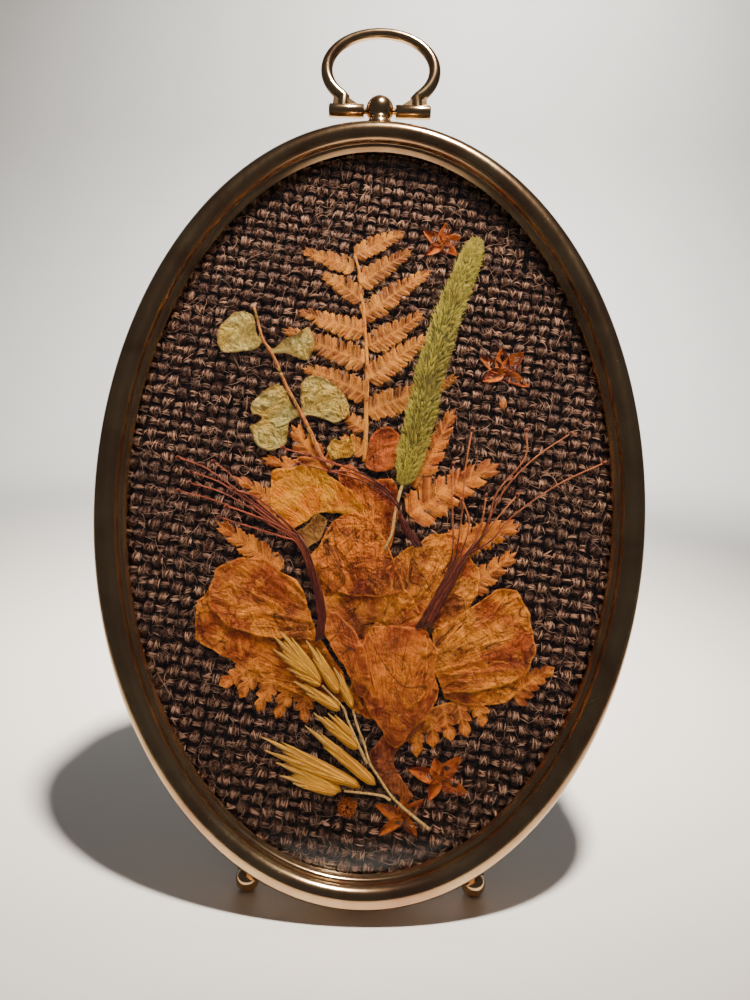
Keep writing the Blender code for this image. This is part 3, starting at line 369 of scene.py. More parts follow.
def brass_look():
    """Polished old brass: a thin brown tarnish in clouds, a few dark specks and fine scratches."""
    look = Look("aged_brass", 0.15, 1.0)
    cloudy = look.ramp(look.noise(13, 4, distortion=0.6), (0.38, 0.0), (0.66, 1.0))
    speckle = look.ramp(look.noise(0.45, 5, roughness=0.7), (0.6, 0.0), (0.72, 1.0))
    speckle = look.times(speckle, look.ramp(look.noise(7, 3), (0.5, 0.0), (0.68, 1.0)))
    colour = look.mix(cloudy, (0.62, 0.42, 0.22), (0.44, 0.25, 0.14))
    colour = look.mix(look.times(speckle, 0.8), colour, (0.12, 0.06, 0.035))
    streak = look.noise(1.0, 3, look.scaled(look.place, (900, 900, 120)))
    rough = look.plus(look.times(speckle, 0.25), look.times(streak, 0.07))
    look.set("Roughness", look.plus(rough, 0.1))
    return look.finished(colour, look.noise(0.8, 3), 0.003, 0.35)


def steel_look():
    look = Look("hinge_steel", 0.4, 1.0)
    rust = look.ramp(look.noise(1.6, 5), (0.5, 0.0), (0.75, 1.0))
    look.set("Roughness", look.plus(look.times(rust, 0.35), 0.3))
    colour = look.mix(rust, (0.42, 0.40, 0.36), (0.2, 0.11, 0.05))
    return look.finished(colour, look.noise(0.3, 2, look.scaled(look.place, (1, 1, 8))), 0.01, 0.4)


def glass_look():
    look = Look("clear_glass", 0.0, 0.0, 0.15)
    look.set("Base Color", (0.985, 0.995, 0.985))
    look.set("Transmission Weight", 1.0)
    look.set("IOR", 1.45)
    look.set("Roughness", look.ramp(look.noise(14, 4, distortion=1.0), (0.5, 0.0), (0.75, 0.02)))
    return look.material


def backing_look():
    look = Look("black_backing", 0.85)
    worn = look.ramp(look.noise(12, 5), (0.55, 0.0), (0.8, 1.0))
    look.set("Sheen Weight", 0.35)
    look.set("Sheen Roughness", 0.5)
    colour = look.mix(worn, (0.016, 0.014, 0.013), (0.06, 0.052, 0.045))
    return look.finished(colour, look.noise(0.25, 3), 0.12, 0.7)


def card_look():
    look = Look("dark_card", 0.9)
    colour = look.mix(look.noise(1.5, 4), (0.018, 0.01, 0.008), (0.035, 0.02, 0.014))
    return look.finished(colour, look.noise(0.3, 3), 0.05, 0.5)


def yarn_look(name, dark, light, pale):
    """Coarse twisted jute. The tag holds how high a thread stands and places along and across it."""
    look = Look(name, 0.9, specular=0.15)
    crown, along, across = look.tag()
    strands = look.noise(1.0, 4, look.scaled(look.joined(along, across), (0.8, 4.2, 1.0)), 0.7)
    strands = look.ramp(strands, (0.4, 0.0), (0.66, 1.0))
    tufts = look.ramp(look.noise(0.5, 4, roughness=0.75), (0.46, 0.0), (0.66, 1.0))
    patches = look.ramp(look.noise(7, 3), (0.36, 0.35), (0.66, 1.0))
    colour = look.mix(strands, dark, light)
    # Pale fuzz only on the crowns: partly the fuzz's own colour, partly a painted highlight on the tops of
    # the threads.
    colour = look.mix(look.times(look.times(tufts, crown), patches), colour, pale)
    # Painted shade: near black where a thread dips under the crossing threads and along its sides, between
    # the crowns.
    colour = look.over(colour, (0.01, 0.004, 0.003), crown, (0.1, 0.8), (0.55, 0.0))
    return look.finished(colour, look.plus(strands, tufts), 0.42)


def fibre_look():
    look = Look("jute_fibre", 0.6)
    look.set("Base Color", look.mix(look.tag()[0], (0.05, 0.016, 0.009), (0.82, 0.43, 0.26)))
    return look.material


def petal_look(name, dark, middle, light, vein, vein_strength=0.7, crinkle=0.7, foot_shade=0.35, rim=None):
    """Dry papery petal. The tag holds the angle about its base, the distance from it and from its edge."""
    look = Look(name, 0.55, specular=0.2)
    angle, distance, edge = look.tag()
    radial = look.joined(look.times(angle, 7.0), look.times(distance, 0.07))
    fine_radial = look.joined(look.times(angle, 40.0), look.times(distance, 0.22))
    veins = look.ramp(look.noise(1.0, 3, radial, 0.5, 0.3), (0.489, 0.0), (0.5, 1.0), (0.511, 0.0))
    folds = look.ramp(look.noise(16.0, 2, distortion=0.5), (0.494, 0.0), (0.5, 1.0), (0.506, 0.0))
    threads = look.ramp(look.noise(1.0, 3, fine_radial), (0.4, 0.0), (0.62, 1.0))
    ridges = look.off_middle(look.noise(5.0, 3, roughness=0.6, distortion=0.7))
    wrinkles = look.off_middle(look.noise(1.7, 3, distortion=0.5))
    grain = look.noise(0.6, 4, roughness=0.75)
    colour = look.mix(look.ramp(look.noise(7.0, 3, roughness=0.5), (0.4, 0.0), (0.6, 1.0)), middle, light)
    colour = look.over(colour, dark, look.noise(9.0, 3, roughness=0.5), (0.5, 0.0), (0.68, 0.85))
    colour = look.over(colour, dark, look.times(distance, 0.05), (0.2, foot_shade), (0.6, 0.0))
    colour = look.mix(look.times(threads, 0.35), colour, dark)
    # Painted shade in the bottoms of the crinkles and a painted highlight on the raised parts between them;
    # the same ridges bump the surface.
    colour = look.over(colour, dark, ridges, (0.0, 0.5), (0.025, 0.0))
    colour = look.over(colour, light, ridges, (0.08, 0.0), (0.15, 0.5))
    colour = look.mix(look.times(veins, vein_strength), colour, vein)
    colour = look.mix(look.times(folds, vein_strength), colour, vein)
    colour = look.over(colour, dark, grain, (0.34, 0.5), (0.46, 0.0))
    # A lighter band along the edge: a painted highlight of the lit, curled edge; where a rim colour is given,
    # as on the leaflets, it is their own brown rim.
    colour = look.over(colour, rim or light, edge, (0.0, 0.6), (0.45, 0.0))
    height = look.plus(look.times(ridges, 4.4 * crinkle), look.times(wrinkles, 1.8 * crinkle))
    height = look.plus(height, look.times(grain, 0.3))
    height = look.plus(height, look.times(threads, 0.12))
    return look.finished(colour, look.minus(height, look.times(veins, 0.16)), 0.8)


def fern_look(name, dark, middle, light):
    """Dry fern. The tag holds a lobe's own shade and how far a point is from the rib and from a vein."""
    look = Look(name, 0.65, specular=0.25)
    shade, out, vein_side = look.tag()
    mottle = look.noise(2.4, 5, roughness=0.65)
    colour = look.mix(look.ramp(mottle, (0.36, 0.0), (0.6, 1.0)), middle, light)
    colour = look.over(colour, dark, shade, (0.1, 0.6), (0.7, 0.0))
    colour = look.over(colour, dark, look.noise(9.0, 3), (0.5, 0.0), (0.68, 0.75))
    far = look.size(vein_side)
    colour = look.over(colour, light, far, (0.0, 0.6), (0.2, 0.0))
    # Painted shade: darker towards the borders between lobes, where the lobes dip and their gaps lie in
    # shade.
    colour = look.over(colour, dark, far, (0.6, 0.0), (1.0, 0.6))
    colour = look.over(colour, light, out, (0.0, 0.6), (0.16, 0.0))
    grain = look.noise(0.35, 4, roughness=0.7)
    colour = look.over(colour, dark, grain, (0.32, 0.6), (0.5, 0.0))
    return look.finished(colour, look.minus(look.times(grain, 0.4), look.times(far, 0.6)), 0.22, 0.9)


def stem_look(name, dark, light):
    look = Look(name, 0.55, specular=0.35)
    streak = look.noise(0.5, 4, look.scaled(look.place, (1600, 1600, 400)))
    colour = look.mix(look.ramp(streak, (0.38, 0.0), (0.64, 1.0)), dark, light)
    return look.finished(colour, streak, 0.06, 0.7)


def filament_look(name, dark, light):
    """Dry stamen: dark and glossy at its foot and paler towards its anther."""
    look = Look(name, 0.28, specular=0.5)
    shade, along, _ = look.tag()
    streak = look.noise(0.6, 3, look.scaled(look.place, (1500, 1500, 300)))
    colour = look.mix(look.ramp(streak, (0.45, 0.0), (0.7, 0.22)), dark, light)
    colour = look.over(colour, light, along, (0.5, 0.0), (0.95, 0.85))
    colour = look.mix(look.times(shade, 0.08), colour, light)
    return look.finished(colour, streak, 0.05, 0.6)


def spike_look():
    """Green seed head. The tag's first value is a bristle's own shade and its second runs to the tip."""
    look = Look("grass_spike", 0.5, specular=0.35)
    shade, along, _ = look.tag()
    colour = look.mix(shade, (0.11, 0.09, 0.006), (0.62, 0.52, 0.06))
    # Painted shade: near black at the foot of each bristle, down among the others, and over the lower half of
    # the core, which the same tag runs along.
    colour = look.over(colour, (0.022, 0.02, 0.003), along, (0.0, 0.85), (0.5, 0.0))
    colour = look.over(colour, (0.85, 0.66, 0.1), along, (0.6, 0.0), (1.0, 0.8))
    colour = look.over(colour, (0.16, 0.1, 0.008), look.noise(7.0, 3), (0.45, 0.0), (0.7, 0.6))
    return look.finished(colour, look.noise(0.2, 2), 0.05, 0.5)


def husk_look():
    """Oat husk: the tag's second value runs along it and its third across it."""
    look = Look("oat_husk", 0.5, specular=0.2)
    shade, along, across = look.tag()
    ribs = look.noise(1.0, 2, look.joined(look.times(across, 9.0), along, shade))
    colour = look.mix(look.ramp(ribs, (0.42, 0.0), (0.56, 1.0)), (0.36, 0.11, 0.008), (1.0, 0.5, 0.035))
    colour = look.over(colour, (1.0, 0.64, 0.1), along, (0.6, 0.0), (1.0, 0.4))
    colour = look.over(colour, (0.5, 0.2, 0.03), look.noise(1.8, 4), (0.5, 0.0), (0.75, 0.5))
    return look.finished(colour, ribs, 0.12, 0.9)


def floor_look():
    look = Look("pale_floor", 0.7)
    look.set("Base Color", look.mix(look.noise(60, 3), (0.62, 0.605, 0.58), (0.66, 0.645, 0.62)))
    return look.material


BRASS = brass_look()
STEEL = steel_look()
GLASS = glass_look()
BACKING = backing_look()
CARD = card_look()
# Each jute look: dark and light strand colours, then the pale fuzz colour that is laid only on the crowns,
# partly as a painted highlight.
WARP = yarn_look("burlap_warp", (0.02, 0.006, 0.004), (0.14, 0.051, 0.03), (0.62, 0.3, 0.18))
WEFT = yarn_look("burlap_weft", (0.018, 0.005, 0.003), (0.13, 0.046, 0.03), (0.52, 0.24, 0.16))
FIBRE = fibre_look()
# A fern's dark colour is also its painted shade at the borders between lobes.
GOLD_FERN = fern_look("gold_fern", (0.14, 0.024, 0.005), (0.52, 0.14, 0.015), (0.88, 0.35, 0.042))
RUST_FERN = fern_look("rust_fern", (0.13, 0.014, 0.004), (0.6, 0.12, 0.009), (1.0, 0.34, 0.03))
FILAMENT = filament_look("dark_filament", (0.05, 0.004, 0.004), (0.5, 0.095, 0.035))
RED_FILAMENT = filament_look("red_filament", (0.07, 0.005, 0.004), (0.66, 0.19, 0.05))
TWIG = stem_look("brown_twig", (0.3, 0.07, 0.012), (0.74, 0.25, 0.045))
STRAW = stem_look("straw_stem", (0.5, 0.26, 0.06), (0.88, 0.62, 0.24))
SPIKE = spike_look()
HUSK = husk_look()
FLOOR = floor_look()

# Each petal colour is its dark, middle, light and vein colours, and what sets it apart from a plain petal.
# The light colour also gives the painted highlight on raised parts and, unless a rim is given, along the
# edge; the dark gives the painted shade in the creases.
PETAL_COLOURS = {
    "gold_petal": ((0.15, 0.018, 0.004), (0.5, 0.09, 0.006), (1.0, 0.32, 0.02), (0.04, 0.005, 0.003), {}),
    "rust_petal": (
        (0.08, 0.008, 0.003), (0.37, 0.048, 0.005), (0.95, 0.25, 0.016), (0.03, 0.004, 0.003),
        {"crinkle": 1.1},
    ),
    "centre_petal": (
        (0.18, 0.022, 0.005), (0.47, 0.08, 0.007), (0.94, 0.26, 0.018), (0.04, 0.005, 0.003),
        {"crinkle": 0.5, "foot_shade": 0.7},
    ),
    "plum_petal": (
        (0.15, 0.016, 0.005), (0.55, 0.105, 0.007), (1.0, 0.34, 0.022), (0.03, 0.004, 0.003),
        {"vein_strength": 0.95},
    ),
    "top_petal": (
        (0.4, 0.055, 0.005), (0.95, 0.25, 0.004), (1.0, 0.44, 0.012), (0.34, 0.04, 0.006),
        {"vein_strength": 0.4, "foot_shade": 0.95},
    ),
    "red_petal": ((0.15, 0.014, 0.006), (0.48, 0.07, 0.008), (0.8, 0.18, 0.02), (0.06, 0.007, 0.004), {}),
    "yellow_petal": (
        (0.4, 0.12, 0.01), (0.9, 0.4, 0.02), (1.0, 0.64, 0.07), (0.22, 0.06, 0.01), {"crinkle": 1.4},
    ),
    "olive_leaf": ((0.08, 0.02, 0.006), (0.34, 0.11, 0.014), (0.7, 0.33, 0.06), (0.05, 0.012, 0.005), {}),
    "pale_leaflet": (
        (0.72, 0.42, 0.06), (1.0, 0.68, 0.15), (1.0, 0.84, 0.3), (0.4, 0.18, 0.02),
        {"vein_strength": 0.4, "crinkle": 2.4, "foot_shade": 0.2, "rim": (0.5, 0.22, 0.03)},
    ),
    "felt_calyx": ((0.07, 0.01, 0.005), (0.32, 0.05, 0.011), (0.6, 0.15, 0.035), (0.04, 0.006, 0.005), {}),
    "star_flower": ((0.1, 0.01, 0.004), (0.46, 0.066, 0.007), (0.85, 0.2, 0.016), (0.04, 0.005, 0.004), {}),
    "dry_bud": ((0.07, 0.008, 0.004), (0.38, 0.055, 0.008), (0.74, 0.19, 0.018), (0.04, 0.006, 0.004), {}),
}
PETAL_LOOKS = {
    name: petal_look(name, *colours, **options) for name, (*colours, options) in PETAL_COLOURS.items()
}


# ---------------------------------------------------------------- brass rim, glass, ring and feet

RIM_HALF_WIDTH, RIM_HALF_HEIGHT = 55.7, 80.8
RIM_CREST, RIM_ROUND_RADIUS, RIM_SHEET = 11.0, 2.5, 0.9
RIM_STEPS = 288
TAB_COUNT, TAB_THICKNESS = 6, 0.36
# Each row across a tab is its distance in from the rim, its height and its half width.
TAB_ROWS = [(1.1, 0.15, 2.0), (1.6, 0.12, 2.0), (3.2, 0.12, 1.9), (4.0, 0.14, 1.5), (4.2, 0.16, 1.0)]


def oval_points(half_width, half_height, steps):
    """Points of an oval and its outward directions."""
    turn = 2 * math.pi * np.arange(steps) / steps
    places = np.stack([half_width * np.cos(turn), half_height * np.sin(turn)], 1)
    outward = np.stack([half_height * np.cos(turn), half_width * np.sin(turn)], 1)
    return places, unit(outward)


def swept_round_oval(pile, profile, half_width, half_height, steps):
    """A closed profile of (inset, z) swept round an oval."""
    places, outward = oval_points(half_width, half_height, steps)
    profile = np.array(profile)
    flat = places[:, None, :] - outward[:, None, :] * profile[None, :, 0, None]
    height = np.broadcast_to(profile[None, :, 1, None], (steps, len(profile), 1))
    pile.add(
        np.concatenate([flat, height], 2).reshape(-1, 3),
        grid_faces(steps, len(profile), wrap_rows=True, wrap_columns=True),
    )


def arc(centre, radius, start, end, steps):
    """Points of an arc between two angles in degrees."""
    turns = np.radians(np.linspace(start, end, steps))
    return [(centre[0] + radius * math.cos(t), centre[1] + radius * math.sin(t)) for t in turns]


def rim_profile():
    middle = RIM_CREST - RIM_ROUND_RADIUS
    outside = [(0.9, 0.0), (0.8, 1.0), (0.55, 3.6), (0.45, 4.5)]
    outside += arc((RIM_ROUND_RADIUS, middle), RIM_ROUND_RADIUS, 205, 12, 22)
    step = [(4.98, 8.78), (5.06, 8.66), (5.3, 8.6), (5.5, 8.52), (5.68, 8.3)]
    lip = [(6.18, 7.6), (6.3, 7.42), (6.25, 7.25), (6.15, 7.2), (6.0, 7.25), (5.05, 7.5)]
    inside_wall = arc((RIM_ROUND_RADIUS, middle), RIM_ROUND_RADIUS - RIM_SHEET, 20, 190, 10)
    inside_wall += [(1.35, 4.5), (1.8, 0.0)]
    return outside + step + lip + inside_wall


def add_tab(pile, index):
    """One tab of the rim's rear edge, bent over the back board."""
    turn = 2 * math.pi * (index + 0.5) / TAB_COUNT
    edge = np.array([RIM_HALF_WIDTH * math.cos(turn), RIM_HALF_HEIGHT * math.sin(turn)])
    outward = unit(np.array([RIM_HALF_HEIGHT * math.cos(turn), RIM_HALF_WIDTH * math.sin(turn)]))
    sideways = np.array([-outward[1], outward[0]])
    rows = []
    for inset, low, half in TAB_ROWS:
        high = low + TAB_THICKNESS
        ring = ((-1, low), (0, low - 0.02), (1, low), (1, high), (0, high), (-1, high))
        rows.append([(*(edge - outward * inset + sideways * s * half), z) for s, z in ring])
    points = np.array(rows).reshape(-1, 3)
    faces = grid_faces(len(rows), 6, wrap_columns=True)
    faces += [(5, 4, 3, 2, 1, 0), tuple(range(len(points) - 6, len(points)))]
    pile.add(points, faces)


def make_bezel():
    pile = Pile()
    swept_round_oval(pile, rim_profile(), RIM_HALF_WIDTH, RIM_HALF_HEIGHT, RIM_STEPS)
    for index in range(TAB_COUNT):
        add_tab(pile, index)
    bezel = add_piece("brass_bezel", pile, BRASS, "bezel")
    bezel.data.set_sharp_from_angle(angle=math.radians(35))


def finish_solid(obj, sharp_degrees):
    """Turns every face outward and keeps the edges above an angle sharp."""
    bm = bmesh.new()
    bm.from_mesh(obj.data)
    bmesh.ops.recalc_face_normals(bm, faces=bm.faces)
    bm.to_mesh(obj.data)
    bm.free()
    obj.data.set_sharp_from_angle(angle=math.radians(sharp_degrees))


GLASS_HALF_WIDTH, GLASS_HALF_HEIGHT = 50.8, 76.2
GLASS_EDGE, GLASS_THICKNESS, DOME_RISE = 5.15, 1.35, 6.0
GLASS_STEPS = 128


def make_glass():
    """The domed glass: rings of points over its outer face and back under its inner one."""
    shares = np.concatenate([np.linspace(0.04, 0.98, 20), [1.0]])
    rows = [(s, GLASS_EDGE + GLASS_THICKNESS + DOME_RISE * (1 - s * s)) for s in shares]
    rows += [(s, GLASS_EDGE + DOME_RISE * (1 - s * s)) for s in shares[::-1]]
    oval, _ = oval_points(GLASS_HALF_WIDTH, GLASS_HALF_HEIGHT, GLASS_STEPS)
    points = np.array([(x * s, y * s, z) for s, z in rows for x, y in oval])
    faces = grid_faces(len(rows), GLASS_STEPS, wrap_columns=True)
    faces += [tuple(range(GLASS_STEPS)), tuple(range(len(points) - 1, len(points) - GLASS_STEPS - 1, -1))]
    pile = Pile()
    pile.add(points, faces)
    finish_solid(add_piece("domed_glass", pile, GLASS, "convex_glass"), 40)


RING_HEIGHT, RING_DEPTH = 85.6, 5.0
STUD_BALL_RADIUS, STUD_BALL_HEIGHT, STUD_FOOT_HEIGHT, STUD_BASE_RADIUS = 3.1, 86.0, 80.75, 3.1
RING_LOOP = (12.1, 9.15, 95.7)
RING_WIRE_RADIUS, RING_TOP_SHARE = 1.38, 0.85
RING_LOOP_START, RING_LOOP_END = -48, 228
RING_WIRE_END = (8.3, 0.4)
RING_WEB = [(3.9, 0.6), (10.6, 0.6), (10.2, 4.0), (8.0, 3.6)]
RING_WEB_HALF_THICKNESS = 0.7
RING_BAR_RADIUS, RING_BAR_INNER, RING_BAR_OUTER = 1.55, 3.5, 11.3
RING_PIN_RADIUS, RING_PIN_REACH = 0.75, 3.8
FOOT_RADIUS, FOOT_SPREAD, FOOT_HEIGHT, FOOT_DEPTH, FOOT_FLAT = 2.4, 22.5, -78.0, -1.5, 0.2
LUG_HALF_WIDTH, LUG_LOW, LUG_HIGH, LUG_FRONT, LUG_BACK = 1.9, -76.0, -69.8, -0.32, -1.08


def add_turned(pile, profile, origin, axis, steps=40):
    """A profile of (radius, distance along the axis) turned about an axis of the plane's coordinates."""
    axis = np.array(axis, float)
    first = unit(np.cross(axis, [0.0, 0.0, 1.0] if abs(axis[2]) < 0.9 else [1.0, 0.0, 0.0]))
    second = np.cross(axis, first)
    turn = 2 * math.pi * np.arange(steps) / steps
    circle = first[None] * np.cos(turn)[:, None] + second[None] * np.sin(turn)[:, None]
    rows = [np.array(origin) + axis * along + circle * max(radius, 0.01) for radius, along in profile]
    points = np.vstack(rows)
    faces = grid_faces(len(profile), steps, wrap_columns=True)
    faces += [tuple(range(steps))[::-1], tuple(range(len(points) - steps, len(points)))]
    pile.add(points, faces)


def make_stud():
    foot, ball, base = STUD_FOOT_HEIGHT, STUD_BALL_HEIGHT, STUD_BASE_RADIUS
    profile = [(0.0, foot), (base - 0.2, foot), (base, foot + 0.2), (base, foot + 1.35)]
    profile += [(base - 0.15, foot + 1.7), (2.75, foot + 2.1), (2.5, foot + 2.5), (2.38, foot + 2.9)]
    profile += [(r, ball + z) for r, z in arc((0, 0), STUD_BALL_RADIUS, -38, 89, 20)]
    pile = Pile()
    add_turned(pile, profile, (0, 0, RING_DEPTH), (0, 1, 0))
    finish_solid(add_piece("finial_stud", pile, BRASS, "ball_stud"), 45)


def add_plate(pile, corners, front, back):
    """A flat plate with four corners, between two depths."""
    points = [(x, y, front) for x, y in corners] + [(x, y, back) for x, y in corners]
    sides = [(0, 4, 5, 1), (1, 5, 6, 2), (2, 6, 7, 3), (3, 7, 4, 0)]
    pile.add(points, [(0, 1, 2, 3), (7, 6, 5, 4), *sides])


def add_web(pile, side):
    """The flat plate that fills the corner between the loop's foot and the bar."""
    corners = [(side * x, RING_HEIGHT + y) for x, y in RING_WEB]
    add_plate(pile, corners, RING_DEPTH + RING_WEB_HALF_THICKNESS, RING_DEPTH - RING_WEB_HALF_THICKNESS)


def make_ring():
    """The hanging loop, whose feet run down into a cross bar on each side of the stud."""
    half_width, half_height, height = RING_LOOP
    turns = np.radians(np.linspace(RING_LOOP_START, RING_LOOP_END, 73))
    loop = [(half_width * math.cos(t), height + half_height * math.sin(t), RING_DEPTH) for t in turns]
    end_x, end_y = RING_WIRE_END
    foot = np.array([end_x, RING_HEIGHT + end_y, RING_DEPTH])
    loop = [foot, *loop, foot * (-1, 1, 1)]
    climb = height + half_height - RING_HEIGHT
    thinning = np.array([max(0.0, (place[1] - RING_HEIGHT) / climb) ** 2 for place in loop])
    pile = Pile()
    add_tube(pile, loop, RING_WIRE_RADIUS * (1 - (1 - RING_TOP_SHARE) * thinning), 18)
    inner, outer, radius = RING_BAR_INNER, RING_BAR_OUTER, RING_BAR_RADIUS
    profile = [(0.5, inner), (radius - 0.15, inner), (radius, inner + 0.15), (radius, outer - 0.3)]
    profile += [(radius - 0.1, outer - 0.1), (radius - 0.35, outer), (0.4, outer)]
    for side in (-1, 1):
        add_turned(pile, profile, (0, RING_HEIGHT, RING_DEPTH), (side, 0, 0), 24)
        add_web(pile, side)
    pin = [(0.3, -RING_PIN_REACH), (RING_PIN_RADIUS, -RING_PIN_REACH)]
    pin += [(RING_PIN_RADIUS, RING_PIN_REACH), (0.3, RING_PIN_REACH)]
    add_turned(pile, pin, (0, RING_HEIGHT, RING_DEPTH), (1, 0, 0), 16)
    finish_solid(add_piece("brass_bail_ring", pile, BRASS, "bail_ring", "ring"), 45)


def make_feet():
    """Ball feet with a small level flat, each on a lug behind the rim."""
    ground = np.array([0.0, math.cos(LEAN), math.sin(LEAN)])
    for side, name in ((-1, "foot_left"), (1, "foot_right")):
        centre = np.array([side * FOOT_SPREAD, FOOT_HEIGHT, FOOT_DEPTH])
        low = -(FOOT_RADIUS - FOOT_FLAT)
        reach = math.degrees(math.asin(low / FOOT_RADIUS))
        profile = [(0.0, low)] + [(r, z) for r, z in arc((0, 0), FOOT_RADIUS, reach, 89, 20)]
        pile = Pile()
        add_turned(pile, profile, centre, ground)
        near, far = centre[0] - LUG_HALF_WIDTH, centre[0] + LUG_HALF_WIDTH
        lug = [(near, LUG_LOW), (far, LUG_LOW), (far, LUG_HIGH), (near, LUG_HIGH)]
        add_plate(pile, lug, LUG_FRONT, LUG_BACK)
        finish_solid(add_piece("ball_" + name, pile, BRASS, name), 45)


SOFT_EDGE = 0.15


def finish_back():
    """Materials and softened edges of the pieces behind the frame."""
    looks = {"back_board": BACKING, "easel_strut": BACKING, "mount_card": CARD}
    looks.update({node: STEEL for node in ("hinge_leaf", "hinge_pin", "strut_leaf")})
    for node, look in looks.items():
        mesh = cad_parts[node].data
        mesh.materials.clear()
        mesh.materials.append(look)
    for node in ("easel_strut", "hinge_leaf", "strut_leaf"):
        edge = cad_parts[node].modifiers.new("soft_edge", "BEVEL")
        edge.width = SOFT_EDGE * MM
        edge.segments = 2
        edge.limit_method = "ANGLE"


# ---------------------------------------------------------------- burlap

THREAD_PITCH = 2.36
WEAVE_TURN = math.radians(-8)
WARP_HALF_WIDTH, WEFT_HALF_WIDTH = 0.96, 0.5
CLOTH_HALF_WIDTH, CLOTH_HALF_HEIGHT = 52.6, 78.2
# The weave is laid out beyond the cloth's top and bottom, so that it still fills the oval once it is turned.
WEAVE_REACH = CLOTH_HALF_HEIGHT + 12
THREAD_STEPS = 5
TUFT_STRANDS, FIBRE_COUNT, FIBRE_STEPS = 9, 3400, 5
# Rows along a tuft's strand: the place along it, how far it sags and how much of its width is left.
STRAND_ROWS = [(-1, 0.5, 0.3), (-0.4, 0.08, 1.0), (0.3, 0.05, 1.0), (1, 0.5, 0.3)]


def turned(x, y):
    """A place along the weave's own directions, turned into the frame's."""
    cos, sin = math.cos(WEAVE_TURN), math.sin(WEAVE_TURN)
    return x * cos - y * sin, x * sin + y * cos


def cloth_share(x, y):
    """0 at the middle of the cloth's oval, 1 on its edge and more outside it."""
    return (x / CLOTH_HALF_WIDTH) ** 2 + (y / CLOTH_HALF_HEIGHT) ** 2


def add_threads(pile, direction, half_width, swing, seed):
    """All threads of one direction: 0 is warp, up the cloth, and 1 is weft, across it."""
    chooser = np.random.default_rng(seed)
    spread = np.linspace(-1, 1, 7 if direction else 9)
    count = int(WEAVE_REACH / THREAD_PITCH)
    for index in range(-count, count + 1):
        here = index * THREAD_PITCH + chooser.uniform(-0.16, 0.16)
        along = np.arange(-WEAVE_REACH, WEAVE_REACH, THREAD_PITCH / THREAD_STEPS)
        side = here + 0.22 * noise(along / 7, np.full(len(along), index * 3.7), seed + 5)
        kept = cloth_share(*turned(*((along, side) if direction else (side, along)))) < 1
        if kept.sum() < 6:
            continue
        along, side = along[kept], side[kept]
        phase = math.pi * (along / THREAD_PITCH + index + direction)
        middle = BURLAP_MIDDLE + swing * np.cos(phase)
        swell = 1 + 0.22 * noise(along / 1.9, np.full(len(along), index * 1.3), seed) + 0.27 * np.cos(phase)
        rows = []
        for offset in spread:
            place = np.full(len(along), index * 3.1 + offset * 4.7)
            strand = 0.2 * noise(along * 1.3 + offset * 3.0, place, seed + 2)
            lift = 0.85 * math.sqrt(max(0.0, 1 - offset**2)) * swell * math.sqrt(half_width)
            across = side + offset * half_width * swell
            x, y = turned(*((along, across) if direction else (across, along)))
            rows.append(np.column_stack([x, y, middle - 0.5 + lift * 0.9 + strand]))
        rim = np.sqrt(np.maximum(0.0, 1 - spread**2))
        # The first tag is how high a thread's surface stands: the jute look paints shade where it is low and
        # lays its pale fuzz, partly a painted highlight, where it is high.
        high = np.repeat(0.5 + 0.5 * np.cos(phase), len(spread)) * np.tile(rim, len(along))
        far = np.repeat(along, len(spread))
        tags = np.column_stack([high, far + index * 31.0, np.tile(spread, len(along)) + far * 0.9])
        faces = grid_faces(len(along), len(spread))
        if direction:
            faces = [face[::-1] for face in faces]
        pile.add(np.stack(rows, 1).reshape(-1, 3), faces, tags)


def make_burlap():
    warp, weft = Pile(), Pile()
    add_threads(warp, 0, WARP_HALF_WIDTH, 0.52, 11)
    add_threads(weft, 1, WEFT_HALF_WIDTH, 0.36, 23)
    cloth = add_piece("burlap_warp", warp, WARP, "burlap")
    crossing = add_piece("burlap_weft", weft, WEFT)


def add_strand(pile, chooser, x, y, direction, bright):
    """One flat strand, thin at its ends, that arches over a crown of the weave."""
    half_width = (WARP_HALF_WIDTH, WEFT_HALF_WIDTH)[direction]
    offset = chooser.uniform(-1.05, 1.05)
    across = offset * half_width * 1.15
    heading = math.pi / 2 * (1 - direction) + WEAVE_TURN + chooser.normal(0, 0.3)
    length = chooser.uniform(1.0, 2.1)
    width = chooser.uniform(0.06, 0.15)
    top = BURLAP_MIDDLE + 0.68 + 0.42 * math.sqrt(max(0.0, 1.1 - offset**2)) * half_width
    top += chooser.uniform(-0.05, 0.16)
    shift_x, shift_y = turned(0, across) if direction else turned(across, 0)
    along_x, along_y = math.cos(heading), math.sin(heading)
    points = []
    for share, sag, thin in STRAND_ROWS:
        here_x = x + shift_x + along_x * share * length / 2
        here_y = y + shift_y + along_y * share * length / 2
        side_x, side_y = along_y * width * thin, along_x * width * thin
        points.append((here_x - side_x, here_y + side_y, top - sag))
        points.append((here_x + side_x, here_y - side_y, top - sag))
    shade = bright * chooser.beta(1.6, 1.6)
    pile.add(points, [(0, 1, 3, 2), (2, 3, 5, 4), (4, 5, 7, 6)], (shade, 0, 0))


def make_tufts():
    """Short loose strands that lie over each crown of the weave, along its thread."""
    chooser = np.random.default_rng(29)
    pile = Pile()
    count = int(WEAVE_REACH / THREAD_PITCH)
    for column in range(-count, count + 1):
        for row in range(-count, count + 1):
            direction = (column + row) % 2
            middle_x = column * THREAD_PITCH + 0.22 * float(noise(row / 3, column * 3.7, 16))
            middle_y = row * THREAD_PITCH + 0.22 * float(noise(column / 3, row * 3.7, 28))
            x, y = turned(middle_x, middle_y)
            if cloth_share(x, y) > 0.95:
                continue
            bright = chooser.uniform(0.2, 1.0)
            for _ in range(TUFT_STRANDS - 4 * direction):
                add_strand(pile, chooser, x, y, direction, bright)
    add_piece("burlap_tufts", pile, FIBRE)


